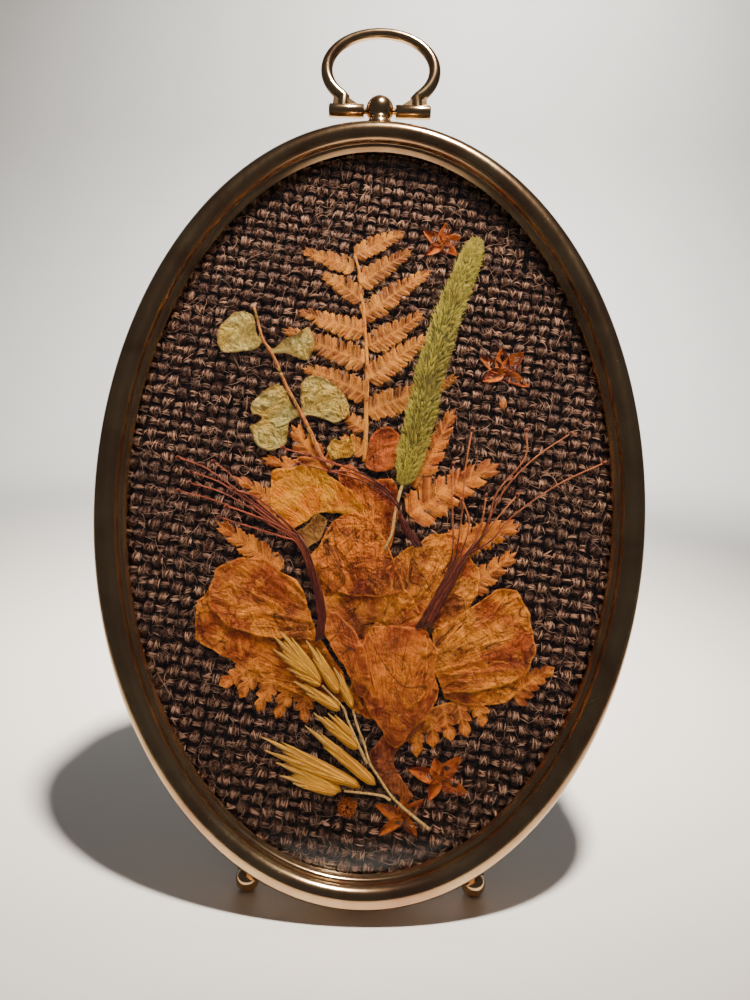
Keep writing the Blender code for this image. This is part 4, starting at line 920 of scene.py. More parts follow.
def make_fibres():
    """Loose jute hairs that stand off the weave."""
    chooser = np.random.default_rng(5)
    pile = Pile()
    for _ in range(FIBRE_COUNT):
        turn, far = chooser.uniform(0, 2 * math.pi), math.sqrt(chooser.uniform(0, 1)) * 0.955
        x, y = far * CLOTH_HALF_WIDTH * math.cos(turn), far * CLOTH_HALF_HEIGHT * math.sin(turn)
        heading = chooser.normal(-0.5, 0.9) if chooser.uniform() < 0.7 else chooser.uniform(0, 6.3)
        length = chooser.gamma(3.0, 0.9) + 0.8
        bend = chooser.normal(0, 0.35)
        lift = chooser.uniform(0.1, 0.34)
        route = []
        for share in np.linspace(0, 1, FIBRE_STEPS):
            route.append((x, y, BURLAP_MIDDLE + 0.75 + lift * math.sin(math.pi * share)))
            x += math.cos(heading) * length / FIBRE_STEPS
            y += math.sin(heading) * length / FIBRE_STEPS
            heading += bend
        if cloth_share(x, y) > 0.93:
            continue
        shade = chooser.beta(1.6, 2.4)
        radius = chooser.uniform(0.028, 0.06)
        add_tube(pile, route, radius * np.array([0.7, 1, 1, 0.9, 0.5]), 3, (shade, 0, 0))
    add_piece("burlap_fibres", pile, FIBRE)


# ---------------------------------------------------------------- pressed plants

SHEET_SPACING = 0.36
# How far the middle of a crinkled sheet lies above the back of its CAD node.
SHEET_LIFT = 0.15


def layer_height(node):
    """How far out of the frame's plane the back of a flat CAD node lies."""
    return to_plane([vertex.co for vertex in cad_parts[node].data.vertices])[:, 2].min()


def creases(x, y, seed):
    """Sharp folds: 1 along a fold and 0 away from it."""
    return (1 - np.minimum(1, np.abs(rough_noise(x, y, seed, 2)) * 4.5)) ** 2


def vein_tags(points, base, edge):
    """Angle about the base of the veins, distance from it and distance from the edge, in millimetres."""
    away = points - np.array(base)
    middle = unit(away.mean(0))
    angle = np.arctan2(middle[0] * away[:, 1] - middle[1] * away[:, 0], away @ middle)
    return np.stack([angle, np.hypot(away[:, 0], away[:, 1]), edge], 1)


def ragged(outline, depth, seed):
    """An outline with its corners rounded off and a slightly uneven edge."""
    outline = resampled(np.asarray(outline, float), SHEET_SPACING)
    for _ in range(6):
        outline = (np.roll(outline, 1, axis=0) + 2 * outline + np.roll(outline, -1, axis=0)) / 4
    along = unit(np.roll(outline, -1, axis=0) - np.roll(outline, 1, axis=0))
    normal = np.stack([along[:, 1], -along[:, 0]], 1)
    shift = depth * rough_noise(outline[:, 0] / 2.4, outline[:, 1] / 2.4, seed, 3)
    return outline + normal * shift[:, None]


def make_petal(node, base, look, seed, wave=0.34, pleat=0.28, crease=0.3, curl=0.7, edge_depth=0.5):
    """A dry petal or leaf over its CAD outline: waved, pleated from its base, creased and curled."""
    flat, faces, edge = fine_sheet(ragged(outline_of(node), edge_depth, seed), SHEET_SPACING, seed)
    tags = vein_tags(flat, base, edge)
    x, y = flat[:, 0], flat[:, 1]
    angle, distance = tags[:, 0], tags[:, 1]
    bent = x + 1.5 * noise(y / 5, x / 5, seed + 1)
    height = wave * rough_noise(x / 7, y / 7, seed, 3)
    height += pleat * noise(angle * 13, distance / 12, seed + 3) * np.minimum(1, distance / 8)
    height += crease * creases(bent / 7, y / 7, seed + 5)
    height -= 0.8 * crease * creases(bent / 4, y / 4, seed + 7)
    height += 0.35 * crease * rough_noise(x / 1.3, y / 1.3, seed + 8, 2)
    height += curl * np.exp(-edge / 0.9) * (0.45 + rough_noise(x / 3, y / 3, seed + 9, 2))
    height += layer_height(node) + SHEET_LIFT
    pile = Pile()
    pile.add(np.column_stack([flat, height]), faces, tags)
    add_piece(node + "_sheet", pile, PETAL_LOOKS[look], node, thickness=0.09)


def leaf_width(share):
    """Width of a plain pointed leaf along its length."""
    return np.sin(np.pi * (0.06 + 0.94 * share) ** 0.75) ** 0.8


def husk_width(share):
    """Width of an oat husk: fullest near its foot, then a long taper to a sharp point."""
    return np.sin(np.pi * share**0.5) ** 0.9


def directions(foot, tip):
    """The foot, the length and the directions along and across of a leaf."""
    foot, tip = np.array(foot, float), np.array(tip, float)
    length = np.linalg.norm(tip - foot)
    along = (tip - foot) / length
    return foot, length, along, np.array([along[1], -along[0]])


def add_leaf(pile, foot, tip, half_width, height, width_of=leaf_width, rows=12, columns=7, rise=0.0, cup=0.2,
             crease=0.0, bend=0.0, shade=0.5, wave=0.0):
    """A leaf-shaped sheet from foot to tip. cup domes it and crease folds it along its middle."""
    foot, length, along, side = directions(foot, tip)
    u, v = np.linspace(0, 1, rows), np.linspace(-1, 1, columns)
    width = half_width * width_of(u)
    offset = width[:, None] * v[None] + bend * np.sin(np.pi * u / 2)[:, None] ** 2
    flat = foot + along * (u * length)[:, None, None] + side * offset[:, :, None]
    domed = cup * (1 - v[None] ** 2) * (width / half_width)[:, None] - crease * (1 - np.abs(v[None])) ** 3
    z = height + rise * u[:, None] + domed
    if wave:
        z = z + wave * rough_noise(flat[:, :, 0] / 1.4, flat[:, :, 1] / 1.4, 31, 2)
    points = np.concatenate([flat, np.broadcast_to(z, (rows, columns))[:, :, None]], 2).reshape(-1, 3)
    tags = np.column_stack([np.full(rows * columns, shade), np.repeat(u, columns), np.tile(v, rows)])
    pile.add(points, [face[::-1] for face in grid_faces(rows, columns)], tags)


# One lobe of a fern's edge, from valley to valley: how far along its pitch and how far out to its reach.
FINE_LOBE = [
    (0.0, 0.3), (0.2, 0.6), (0.34, 0.84), (0.46, 0.76), (0.62, 1.0), (0.76, 0.88), (0.98, 1.04), (1.1, 0.86),
    (1.3, 0.84), (1.16, 0.6), (1.04, 0.42),
]
BROAD_LOBE = [(0.0, 0.62), (0.3, 0.9), (0.8, 1.04), (1.06, 0.96), (1.04, 0.78)]
FERN_SPACING = 0.3


def fern_reach(share, foot_share):
    """How far a fern leaf's lobes reach along it, as a share of its half width."""
    return np.minimum(1.0, foot_share + 1.6 * share) * np.maximum(0.0, 1 - share) ** 0.55 + 0.06


def add_pinna(pile, foot, tip, half_width, height, seed, pitch=1.65, lobe=FINE_LOBE, foot_share=0.7):
    """One side leaf of a fern: a thin sheet with a row of toothed lobes along each side of its rib."""
    chooser = np.random.default_rng(seed)
    foot, length, along, side = directions(foot, tip)
    count = max(3, int(round(length / pitch)))
    step = 1.0 / (count + 0.5)
    outline = []
    for direction in (1, -1):
        edge = []
        for index in range(count):
            reach = direction * half_width * chooser.uniform(0.88, 1.1)
            reach *= fern_reach((index + 0.5) * step, foot_share)
            start = index + chooser.uniform(-0.08, 0.08)
            edge += [(min(1.0, (start + forward) * step), reach * out) for forward, out in lobe]
        outline += edge + [(1.03, 0.0)] if direction == 1 else edge[::-1]
    sag = chooser.uniform(-0.5, 0.5)
    flat, faces, _ = fine_sheet([(share * length, out) for share, out in outline], FERN_SPACING, seed)
    share = flat[:, 0] / length
    reach = half_width * fern_reach(share, foot_share)
    out = np.abs(flat[:, 1]) / reach
    place = share / step - 0.75 * out
    lobe_index = np.floor(place).astype(int) + 50 * (flat[:, 1] > 0)
    vein_side = 2 * (place - np.floor(place)) - 1
    shades = chooser.uniform(0, 1, 200)[lobe_index + 10]
    tilts = chooser.uniform(-0.25, 0.4, 200)[lobe_index + 10]
    rise = 0.2 * (1 - vein_side**2) * np.minimum(1, out * 2) + tilts * out**1.5
    rise += 0.22 * np.exp(-out * 6) + 0.16 * rough_noise(share * 5, flat[:, 1] / 3, seed, 2)
    spot = foot + along * flat[:, :1] + side * (flat[:, 1:] + (sag * np.sin(math.pi * share))[:, None])
    points = np.column_stack([spot, height + 0.15 + rise])
    pile.add(points, faces, np.stack([shades, out, vein_side], 1))


FROND_STEM = [
    (-1.3, 6.0), (-1.2, 9.6), (-1.2, 14.6), (-1.3, 18.4), (-1.2, 21.6), (-1.3, 25.8), (-1.5, 29.2),
    (-1.8, 32.4), (-2.1, 35.6), (-2.5, 39.6), (-3.0, 42.6), (-3.4, 46.6), (-4.3, 50.4), (-4.6, 51.6),
]
# Each side leaf is its foot, its tip and its half width, and the lobes stand out further by the fullness.
FROND_FULLNESS, SPRAY_FULLNESS, LEAF_FULLNESS = 1.45, 1.5, 1.2
FROND_LEAVES = [
    ((-1.1, 16.8), (17.5, 24.5), 2.3), ((-1.0, 23.6), (11.2, 33.4), 2.3), ((-1.4, 30.8), (10.1, 38.4), 2.2),
    ((-2.4, 37.4), (11.7, 48.0), 2.2), ((-3.3, 44.6), (7.6, 52.6), 2.0), ((-4.5, 51.2), (5.9, 56.6), 1.8),
    ((-1.5, 8.0), (-6.6, 11.0), 1.7), ((-1.6, 12.6), (-6.2, 16.6), 1.6), ((-1.3, 20.2), (-14.7, 25.6), 2.3),
    ((-1.7, 27.3), (-19.0, 34.1), 2.3), ((-2.2, 34.0), (-16.2, 38.3), 2.1),
    ((-3.0, 41.0), (-11.5, 46.8), 1.9), ((-4.6, 48.3), (-15.9, 51.9), 1.7),
]
# Each spray is its stem and then its side leaves.
FERN_SPRAYS = {
    "fern_lower_right": (
        [(7.4, -44.6), (10.9, -44.6), (13.8, -43.4), (16.8, -42.4), (19.9, -41.8), (23.6, -41.4),
         (28.6, -41.0)],
        [((9.4, -44.7), (10.4, -52.8), 1.6), ((12.4, -44.1), (13.6, -51.0), 1.5),
         ((15.4, -43.0), (17.2, -49.6), 1.6), ((18.4, -42.2), (20.4, -48.8), 1.5),
         ((21.6, -41.7), (23.4, -46.9), 1.4), ((29.2, -40.7), (37.3, -35.1), 1.9)],
    ),
    "fern_lower_left": (
        [(-10.0, -41.5), (-13.3, -40.2), (-16.2, -38.7), (-19.2, -37.4), (-22.4, -36.6), (-24.0, -36.6)],
        [((-11.8, -41.0), (-11.4, -46.8), 1.4), ((-14.8, -39.6), (-17.4, -46.1), 1.4),
         ((-17.7, -38.2), (-21.1, -44.8), 1.5), ((-20.7, -37.1), (-24.8, -42.3), 1.5),
         ((-23.5, -36.8), (-28.8, -40.0), 1.5)],
    ),
}
FERN_LEAVES = {
    "fern_behind_spike": ((9.0, 0.6), (17.2, 17.6), 2.6),
    "fern_middle_right": ((8.2, -5.2), (26.2, 6.0), 4.0),
    "fern_right": ((15.6, -11.6), (30.7, -6.4), 3.1),
    "fern_right_low": ((17.4, -20.8), (29.8, -12.3), 2.8),
    "fern_left": ((-17.6, -16.8), (-31.1, -7.3), 2.5),
    "fern_left_middle": ((-17.6, -5.4), (-27.8, 2.0), 2.0),
    "fern_left_upper": ((-12.6, 3.8), (-22.4, 6.2), 1.8),
    "fern_upper_left": ((-9.2, 3.4), (-16.6, 13.2), 3.0),
}


def make_fern(node, stem, leaves, fullness, look, seed, stem_radius=0.34, **shape):
    height = layer_height(node)
    pile = Pile()
    if stem:
        route = smooth_route([(*place, height + 0.3) for place in stem], 4)
        add_tube(pile, route, np.linspace(stem_radius, stem_radius * 0.5, len(route)), 8, (1.0, 0, 0), 0.6)
    for index, (foot, tip, half_width) in enumerate(leaves):
        low = height + 0.04 * (index % 3)
        add_pinna(pile, foot, tip, fullness * half_width, low, seed + index, **shape)
    add_piece(node + "_leaf", pile, look, node, thickness=0.07)


def make_ferns():
    make_fern("fern_frond", FROND_STEM, FROND_LEAVES, FROND_FULLNESS, GOLD_FERN, 100, 0.5)
    broad = {"pitch": 2.1, "lobe": BROAD_LOBE, "foot_share": 1.0}
    for index, (node, (stem, leaves)) in enumerate(FERN_SPRAYS.items()):
        make_fern(node, stem, leaves, SPRAY_FULLNESS, RUST_FERN, 200 + 20 * index, 0.26, **broad)
    for index, (node, leaf) in enumerate(FERN_LEAVES.items()):
        make_fern(node, [], [leaf], LEAF_FULLNESS, RUST_FERN, 300 + 20 * index, pitch=3.3)


# Each petal is the point that its veins leave, its look, its seed and what sets it apart from a plain one.
PETALS = {
    "petal_left_lower": ((-1.0, -41.0), "gold_petal", 41, {}),
    "petal_left_upper": ((-6.0, -28.0), "gold_petal", 43, {"wave": 0.4, "pleat": 0.34}),
    "petal_centre": ((5.5, -53.0), "centre_petal", 45, {"pleat": 0.18, "crease": 0.16}),
    "petal_centre_left": ((1.0, -44.0), "centre_petal", 47, {"curl": 0.15}),
    "petal_right": ((8.0, -38.0), "plum_petal", 49, {"wave": 0.42, "pleat": 0.36}),
    "petal_right_lower": ((10.0, -38.0), "gold_petal", 51, {}),
    "petal_right_upper": ((6.0, -31.0), "plum_petal", 53, {"wave": 0.36}),
    "petal_middle": ((1.0, -27.0), "rust_petal", 55, {"wave": 0.4, "pleat": 0.34, "curl": 0.6}),
    "petal_top_gold": ((-3.0, -12.0), "top_petal", 57, {"pleat": 0.26}),
    "petal_under": ((1.0, -30.0), "plum_petal", 59, {"wave": 0.32, "crease": 0.4}),
    "petal_behind": ((2.0, -16.0), "rust_petal", 60, {}),
    "petal_red": ((2.4, 1.0), "red_petal", 61, {"pleat": 0.14}),
    "petal_yellow": ((-3.0, 4.0), "yellow_petal", 63, {"wave": 0.4, "crease": 0.35}),
    "folded_leaf": ((-8.0, -14.0), "olive_leaf", 65, {"pleat": 0.1}),
    "calyx_stem": ((8.0, -66.0), "felt_calyx", 67, {"pleat": 0.12, "curl": -0.3, "edge_depth": 0.45}),
}


def make_petals():
    for node, (base, look, seed, options) in PETALS.items():
        make_petal(node, base, look, seed, **options)


# ---------------------------------------------------------------- filaments, twig, oats, small flowers


FILAMENT_RADIUS = 0.22


def add_filament(pile, route, seed, shade, knob):
    """A dry stamen: a thin bent thread with a small anther at its end."""
    chooser = np.random.default_rng(seed)
    route = smooth_route(route, 5)
    wander = np.linspace(0, 5, len(route))
    route[:, 0] += 0.16 * noise(wander, np.full(len(route), seed * 1.7), seed)
    route[:, 1] += 0.16 * noise(wander, np.full(len(route), seed * 2.3), seed + 1)
    radii = np.linspace(FILAMENT_RADIUS, FILAMENT_RADIUS * 0.6, len(route))
    add_tube(pile, route, radii, 6, (shade, 0, 0), 0.8)
    if knob:
        heading = unit(route[-1] - route[-2])
        steps = np.linspace(-0.45, 0.65, 6)
        bulge = np.sqrt(np.maximum(0.03, 1 - np.linspace(-1, 1, 6) ** 2))
        knob_route = [route[-1] + heading * step for step in steps]
        add_tube(pile, knob_route, bulge * chooser.uniform(0.34, 0.5), 7, (1.0, 1.0, 0), 0.7)


LEFT_BASE = [(-9.3, -30.7), (-9.1, -25.3), (-11.0, -18.0), (-13.8, -11.4)]
LEFT_ROUTES = [
    [(-18.0, -10.2), (-30.4, -6.6)], [(-20.6, -7.6), (-31.0, -3.4), (-38.9, -1.4)],
    [(-22.4, -5.6), (-30.0, -1.5), (-36.8, 0.3)], [(-23.6, -4.1), (-30.4, 0.4), (-36.5, 2.6)],
    [(-24.6, -2.9), (-33.2, 3.2), (-39.3, 5.5)], [(-24.8, -1.6), (-29.0, 2.6), (-32.1, 4.9)],
    [(-16.6, -7.6), (-22.6, -2.6), (-27.6, -0.9)], [(-17.4, -8.6), (-24.6, -5.6), (-29.0, -4.6)],
    [(-15.6, -8.8), (-18.6, -6.2)],
]
MIDDLE_BASE = [(10.1, -11.7), (6.9, -7.3)]
MIDDLE_ROUTES = [
    [(5.6, -3.4), (-1.2, 1.4), (-10.9, 4.0), (-14.6, 4.8)],
    [(5.0, -1.8), (-1.6, 2.9), (-9.9, 5.6), (-18.0, 8.0)],
    [(5.9, -4.2), (2.0, 0.4), (-4.0, 3.2), (-8.6, 3.6)],
    [(5.2, -2.8), (0.6, 1.8), (-5.6, 4.6), (-12.6, 6.6)],
]
RIGHT_BASE = [(11.3, -27.6), (14.4, -21.6), (17.8, -15.2)]
RIGHT_ROUTES = [
    [(16.9, -10.2), (16.7, -2.0), (16.8, 5.6)], [(17.9, -11.2), (18.7, -5.9), (19.3, 4.3), (20.7, 13.0)],
    [(19.2, -11.0), (20.4, -6.0), (18.8, -1.6)], [(21.0, -10.6), (23.0, -6.0), (23.8, -0.8)],
    [(22.6, -9.5), (24.4, -5.0), (26.0, 0.1), (31.7, 7.3), (32.1, 13.2)],
    [(21.6, -11.2), (26.4, -5.0), (30.0, -0.4)],
    [(22.8, -9.0), (27.0, 0.0), (33.4, 7.2), (41.2, 12.8)],
    [(20.4, -12.9), (25.0, -9.8), (29.0, -5.0), (38.6, 2.0), (48.0, 6.7)],
]


# Each bundle is its base, routes, look and spread, its heights at its foot and at its end, and its seed.
BUNDLES = {
    "stamens_left": (LEFT_BASE, LEFT_ROUTES, FILAMENT, 1.4, 6.95, 6.95, 71),
    "stamens_middle": (MIDDLE_BASE, MIDDLE_ROUTES, FILAMENT, 1.2, 6.95, 6.95, 72),
    "stamens_right": (RIGHT_BASE, RIGHT_ROUTES, RED_FILAMENT, 3.3, 6.95, 5.6, 73),
}


def add_bundle(pile, base, routes, spread, low, high, seed):
    """Filaments that leave a common base side by side and part on their own routes."""
    chooser = np.random.default_rng(seed)
    for index, route in enumerate(routes):
        for copy in range(2):
            shift = spread * ((index + 0.5 + 0.5 * copy) / len(routes) - 0.5)
            path = [(x + shift, y + 0.3 * shift) for x, y in base]
            path += route if copy == 0 else route[:1]
            rise = np.linspace(low, high, len(path)) + chooser.uniform(0, 0.3)
            points = [(x, y, z) for (x, y), z in zip(path, rise)]
            add_filament(pile, points, seed + 7 * index + copy, chooser.uniform(0, 1), copy == 0)


def make_stamens():
    for node, (base, routes, look, spread, low, high, seed) in BUNDLES.items():
        pile = Pile()
        add_bundle(pile, base, routes, spread, low, high, seed)
        add_piece(node + "_bundle", pile, look, node)


TWIG_ROUTE = [
    (-8.2, 4.1), (-10.4, 7.0), (-12.8, 12.0), (-14.4, 15.2), (-15.2, 16.6), (-17.6, 20.6), (-20.6, 27.0),
    (-21.6, 28.8), (-23.3, 31.4), (-23.9, 33.0), (-25.6, 38.8),
]
LEAFLET_FEET = [(-14.4, 15.4), (-16.0, 15.6), (-21.0, 28.9), (-24.0, 31.4)]


def make_twig():
    """Four fan leaflets over their CAD outline and the thin brown twig that bears them."""
    node = "leaflet_twig"
    flat, faces, edge = fine_sheet(ragged(outline_of(node), 0.18, 81), SHEET_SPACING, 82)
    x, y = flat[:, 0], flat[:, 1]
    away = flat[:, None, :] - np.array(LEAFLET_FEET)[None]
    nearest = np.hypot(away[:, :, 0], away[:, :, 1]).argmin(1)
    away = away[np.arange(len(flat)), nearest]
    distance = np.hypot(away[:, 0], away[:, 1])
    angle = np.arctan2(away[:, 1], away[:, 0])
    height = layer_height(node) + 0.2 + 0.36 * rough_noise(x / 4, y / 4, 83, 3)
    height += 0.3 * creases(x / 3.4, y / 3.4, 84) - 0.24 * creases(x / 2, y / 2, 86)
    height += 0.16 * np.sin(angle * 9) * np.minimum(1, distance / 6) + 0.16 * rough_noise(x, y, 87, 2)
    height += 0.9 * np.exp(-edge / 0.5) * (0.35 + rough_noise(x / 2.5, y / 2.5, 85, 2))
    pile = Pile()
    pile.add(np.column_stack([flat, height]), faces, np.column_stack([angle, distance, edge]))
    add_piece("twig_leaflets", pile, PETAL_LOOKS["pale_leaflet"], node, thickness=0.09)
    route = smooth_route([(x, y, layer_height(node) + 0.35) for x, y in TWIG_ROUTE], 5)
    pile = Pile()
    add_tube(pile, route, np.linspace(0.5, 0.26, len(route)), 9, (0.5, 0, 0))
    add_piece("twig_stem", pile, TWIG)


OAT_STEMS = [
    [(13.0, -66.2), (9.8, -63.8), (7.3, -61.8), (5.4, -60.0), (3.1, -56.8), (1.2, -54.0), (0.1, -50.6),
     (-1.2, -47.5), (-2.3, -44.1)],
    [(0.7, -54.2), (-1.1, -50.6), (-3.3, -46.0), (-4.3, -43.6), (-8.5, -39.5)],
    [(5.4, -60.9), (3.1, -60.0), (-3.6, -59.4)],
]
# Each husk is its foot and its tip.
OAT_HUSKS = [
    ((-2.4, -43.6), (-6.3, -36.0)), ((-5.2, -40.9), (-11.9, -30.9)), ((-8.7, -39.0), (-17.1, -29.3)),
    ((-10.1, -38.0), (-18.4, -30.2)), ((-10.6, -37.8), (-18.2, -32.7)), ((-8.8, -39.5), (-15.5, -36.4)),
    ((-4.8, -44.1), (-14.1, -38.9)), ((-1.0, -51.4), (-9.9, -44.7)), ((-2.2, -49.0), (-7.1, -44.7)),
    ((2.5, -58.1), (-11.5, -47.2)), ((-0.4, -58.6), (-20.0, -49.6)), ((-2.4, -57.9), (-19.1, -52.0)),
    ((-4.1, -59.4), (-16.8, -54.4)), ((-4.8, -59.7), (-15.9, -56.8)), ((-7.4, -59.2), (-13.4, -58.2)),
]


# The husks of a spikelet: how far each reaches, how far it leans to a side and how wide it is.
SPIKELET = [(1.0, 0.0, 1.0), (0.82, 0.5, 0.8), (0.7, -0.45, 0.72)]
OAT_HEIGHT, OAT_FOOT_HEIGHT, AWN_RADIUS = 6.5, 5.95, 0.07


def add_spikelet(husks, stems, foot, tip, chooser):
    """Three ridged husks that overlap, and the awn between them."""
    foot, tip = np.array(foot), np.array(tip)
    span = tip - foot
    side = unit(np.array([span[1], -span[0]]))
    half = min(1.1, 0.095 * np.linalg.norm(span))
    low = OAT_HEIGHT + chooser.uniform(0, 0.25)
    for reach, turn, width in SPIKELET:
        end = foot + span * reach + side * turn * half * 1.5
        add_leaf(husks, foot, end, half * width, low, husk_width, 16, 9, cup=0.75, rise=0.1,
                 shade=chooser.uniform(0, 1), bend=chooser.uniform(-0.2, 0.2))
        low += 0.1
    awn = [(*(foot + span * share), low + rise) for share, rise in ((0.55, 0.45), (0.8, 0.5), (1.0, 0.25))]
    add_tube(stems, smooth_route(awn, 4), AWN_RADIUS, 5, (0.9, 0, 0))


def make_oats():
    """Dry oat spikelets on thin pale stems."""
    chooser = np.random.default_rng(91)
    husks, stems = Pile(), Pile()
    for foot, tip in OAT_HUSKS:
        add_spikelet(husks, stems, foot, tip, chooser)
    for index, stem in enumerate(OAT_STEMS):
        height = np.linspace(OAT_HEIGHT + 0.1 if index else OAT_FOOT_HEIGHT, OAT_HEIGHT + 0.2, len(stem))
        route = smooth_route([(x, y, z) for (x, y), z in zip(stem, height)], 5)
        add_tube(stems, route, np.linspace(0.3, 0.2, len(route)), 8, (0.6, 0, 0))
    add_piece("oat_husks", husks, HUSK, "oat_panicle", thickness=0.06)
    add_piece("oat_stems", stems, STRAW)


# Each small flower is its middle, the half width of a petal and the tips of its petals.
STARS = {
    "star_flower_left": (
        (7.7, -64.3), 1.5, [(10.6, -67.8), (11.6, -60.4), (7.6, -59.8), (2.3, -62.2), (3.6, -68.2)],
    ),
    "star_flower_low": (
        (14.8, -56.9), 1.7, [(20.4, -60.4), (19.6, -53.0), (13.6, -53.0), (8.6, -55.6), (12.8, -61.0)],
    ),
    "star_flower_top": (
        (14.1, 54.4), 1.6, [(16.8, 50.9), (18.4, 55.2), (14.6, 59.0), (9.9, 56.6), (10.4, 51.8)],
    ),
    "star_flower_side": (
        (27.2, 26.0), 1.8, [(32.8, 22.8), (31.8, 30.2), (26.9, 31.2), (22.4, 29.2), (23.0, 23.4)],
    ),
}
BUD_CENTRE, BUD_LEAVES, BUD_HEIGHT = np.array([-2.9, -62.6]), 34, 5.9
SEED_PLACE, SEED_RADIUS, SEED_HALF_LENGTH = (27.3, 19.0, 5.3), 0.8, 1.2


def add_star(node, centre, half_width, tips, chooser):
    """A small dry flower of five curled petals round a few short stamens."""
    pile = Pile()
    height = layer_height(node)
    for index, tip in enumerate(tips):
        add_leaf(pile, centre, tip, half_width * chooser.uniform(0.6, 0.9), height + 0.25 + 0.07 * index,
                 leaf_width, 15, 9, rise=chooser.uniform(0.1, 0.6), cup=-chooser.uniform(0.5, 0.9),
                 crease=0.3, bend=chooser.uniform(-0.7, 0.7), shade=chooser.uniform(0, 1), wave=0.35)
    for _ in range(9):
        turn, far = chooser.uniform(0, 2 * math.pi), chooser.uniform(0.1, 0.6)
        foot = (centre[0] + far * math.cos(turn), centre[1] + far * math.sin(turn), height + 0.5)
        end = (foot[0] + 0.4 * math.cos(turn), foot[1] + 0.4 * math.sin(turn), height + 1.0)
        add_tube(pile, [foot, end], [0.16, 0.12], 5, (0.2, 0, 0))
    # The petal look reads each petal's place across it as its edge tag, so its painted edge highlight covers
    # one side of every petal, a little past its middle, and the short stamens whole.
    add_piece(node + "_petals", pile, PETAL_LOOKS["star_flower"], node, thickness=0.07)


def add_bud(chooser):
    """A ruffled flower head: small leaves in a spiral about its middle."""
    pile = Pile()
    for index in range(BUD_LEAVES):
        turn = 2.4 * index
        heading = np.array([math.cos(turn), math.sin(turn)])
        foot = BUD_CENTRE + heading * (0.25 + 0.035 * index)
        tip = BUD_CENTRE + heading * min(2.1, 1.2 + 0.042 * index)
        add_leaf(pile, foot, tip, 0.5, BUD_HEIGHT - 0.022 * index, leaf_width, 6, 5, rise=0.25, cup=-0.2,
                 shade=chooser.uniform(0, 1))
    # As on the star petals, the painted edge highlight covers one side of every small leaf, a little past its
    # middle.
    add_piece("dry_flower_bud", pile, PETAL_LOOKS["dry_bud"], "flower_bud", thickness=0.07)


def make_seed():
    pile = Pile()
    x, y, z = SEED_PLACE
    steps = np.linspace(-1, 1, 11)
    route = [(x + 0.05 * s, y + SEED_HALF_LENGTH * s, z) for s in steps]
    add_tube(pile, route, SEED_RADIUS * np.sqrt(np.maximum(0.01, 1 - steps**2)), 14, (0.4, 0, 0), 0.5)
    add_piece("dry_seed", pile, TWIG, "small_seed")


def make_small_flowers():
    chooser = np.random.default_rng(95)
    for node, (centre, half_width, tips) in STARS.items():
        add_star(node, centre, half_width, tips, chooser)
    add_bud(chooser)


SPIKE_ROUTE = [
    (21.3, 54.2, 6.0, 0.12), (20.9, 52.8, 6.05, 0.46), (19.8, 49.6, 6.15, 0.78), (17.8, 44.0, 6.3, 0.98),
    (15.2, 36.6, 6.5, 1.12), (12.2, 26.0, 6.7, 1.2), (10.0, 15.4, 6.7, 1.22), (8.2, 7.6, 6.7, 1.1),
    (7.2, 3.2, 6.7, 0.75), (6.4, 0.6, 6.7, 0.2),
]
SPIKE_STEM = [(6.6, 1.2, 6.7), (5.9, -1.4, 6.7), (5.1, -5.2, 6.75), (4.6, -9.0, 6.95), (3.2, -12.4, 7.0)]
SPIKE_CORE, SPIKE_FLATNESS = 1.95, 0.36
GLUME_COUNT, BRISTLE_COUNT = 1500, 2600


def add_bristle(pile, chooser, core, widths, along, side, glume):
    """One small glume or one short bristle of the seed head, which leans out and points along it."""
    place = chooser.uniform(0, len(core) - 1.001)
    k, share = int(place), place % 1
    middle = core[k] * (1 - share) + core[k + 1] * share
    width = widths[k] * (1 - share) + widths[k + 1] * share
    turn = chooser.uniform(-0.2, math.pi + 0.2)
    sideways = side[k] * math.cos(turn)
    foot = middle + (sideways + np.array([0, 0, SPIKE_FLATNESS]) * math.sin(turn)) * width * 0.92
    lean = chooser.uniform(0.5, 1.05)
    heading = along[k] + (sideways + np.array([0, 0, 0.35]) * math.sin(turn)) * lean
    heading = unit(heading) + chooser.normal(0, 0.08, 3)
    shade = chooser.beta(2.0, 2.0)
    if glume:
        steps = foot + heading * chooser.uniform(1.2, 1.7) * np.array([0, 0.35, 0.75, 1.0])[:, None]
        radii = np.array([0.1, 0.25, 0.17, 0.03]) * chooser.uniform(0.8, 1.15)
        add_tube(pile, steps, radii, 5, (shade, 0, 0))
    else:
        length = chooser.uniform(1.5, 2.3) * min(1.0, width / SPIKE_CORE + 0.3)
        steps = foot + heading * length * np.array([0, 0.55, 1.0])[:, None]
        add_tube(pile, steps, [0.08, 0.06, 0.02], 3, (min(1.0, shade + 0.3), 0, 0))


def make_grass_spike():
    """The seed head: a flattened core covered with small glumes and short bristles, on a thin stem."""
    chooser = np.random.default_rng(97)
    pile = Pile()
    route = smooth_route(SPIKE_ROUTE[::-1], 6)
    core, widths = route[:, :3], np.maximum(0.15, route[:, 3] * SPIKE_CORE)
    add_tube(pile, core, widths, 14, (0.15, 0, 0), SPIKE_FLATNESS)
    along = unit(np.gradient(core, axis=0))
    side = np.column_stack([along[:, 1], -along[:, 0], np.zeros(len(core))])
    for index in range(GLUME_COUNT + BRISTLE_COUNT):
        add_bristle(pile, chooser, core, widths, along, side, index < GLUME_COUNT)
    add_piece("seed_head_bristles", pile, SPIKE, "grass_spike", smooth=False)
    pile = Pile()
    stem = smooth_route(SPIKE_STEM, 5)
    add_tube(pile, stem, np.linspace(0.34, 0.24, len(stem)), 9, (0.5, 0, 0))
    add_piece("seed_head_stem", pile, STRAW)


# ---------------------------------------------------------------- camera, light and stage

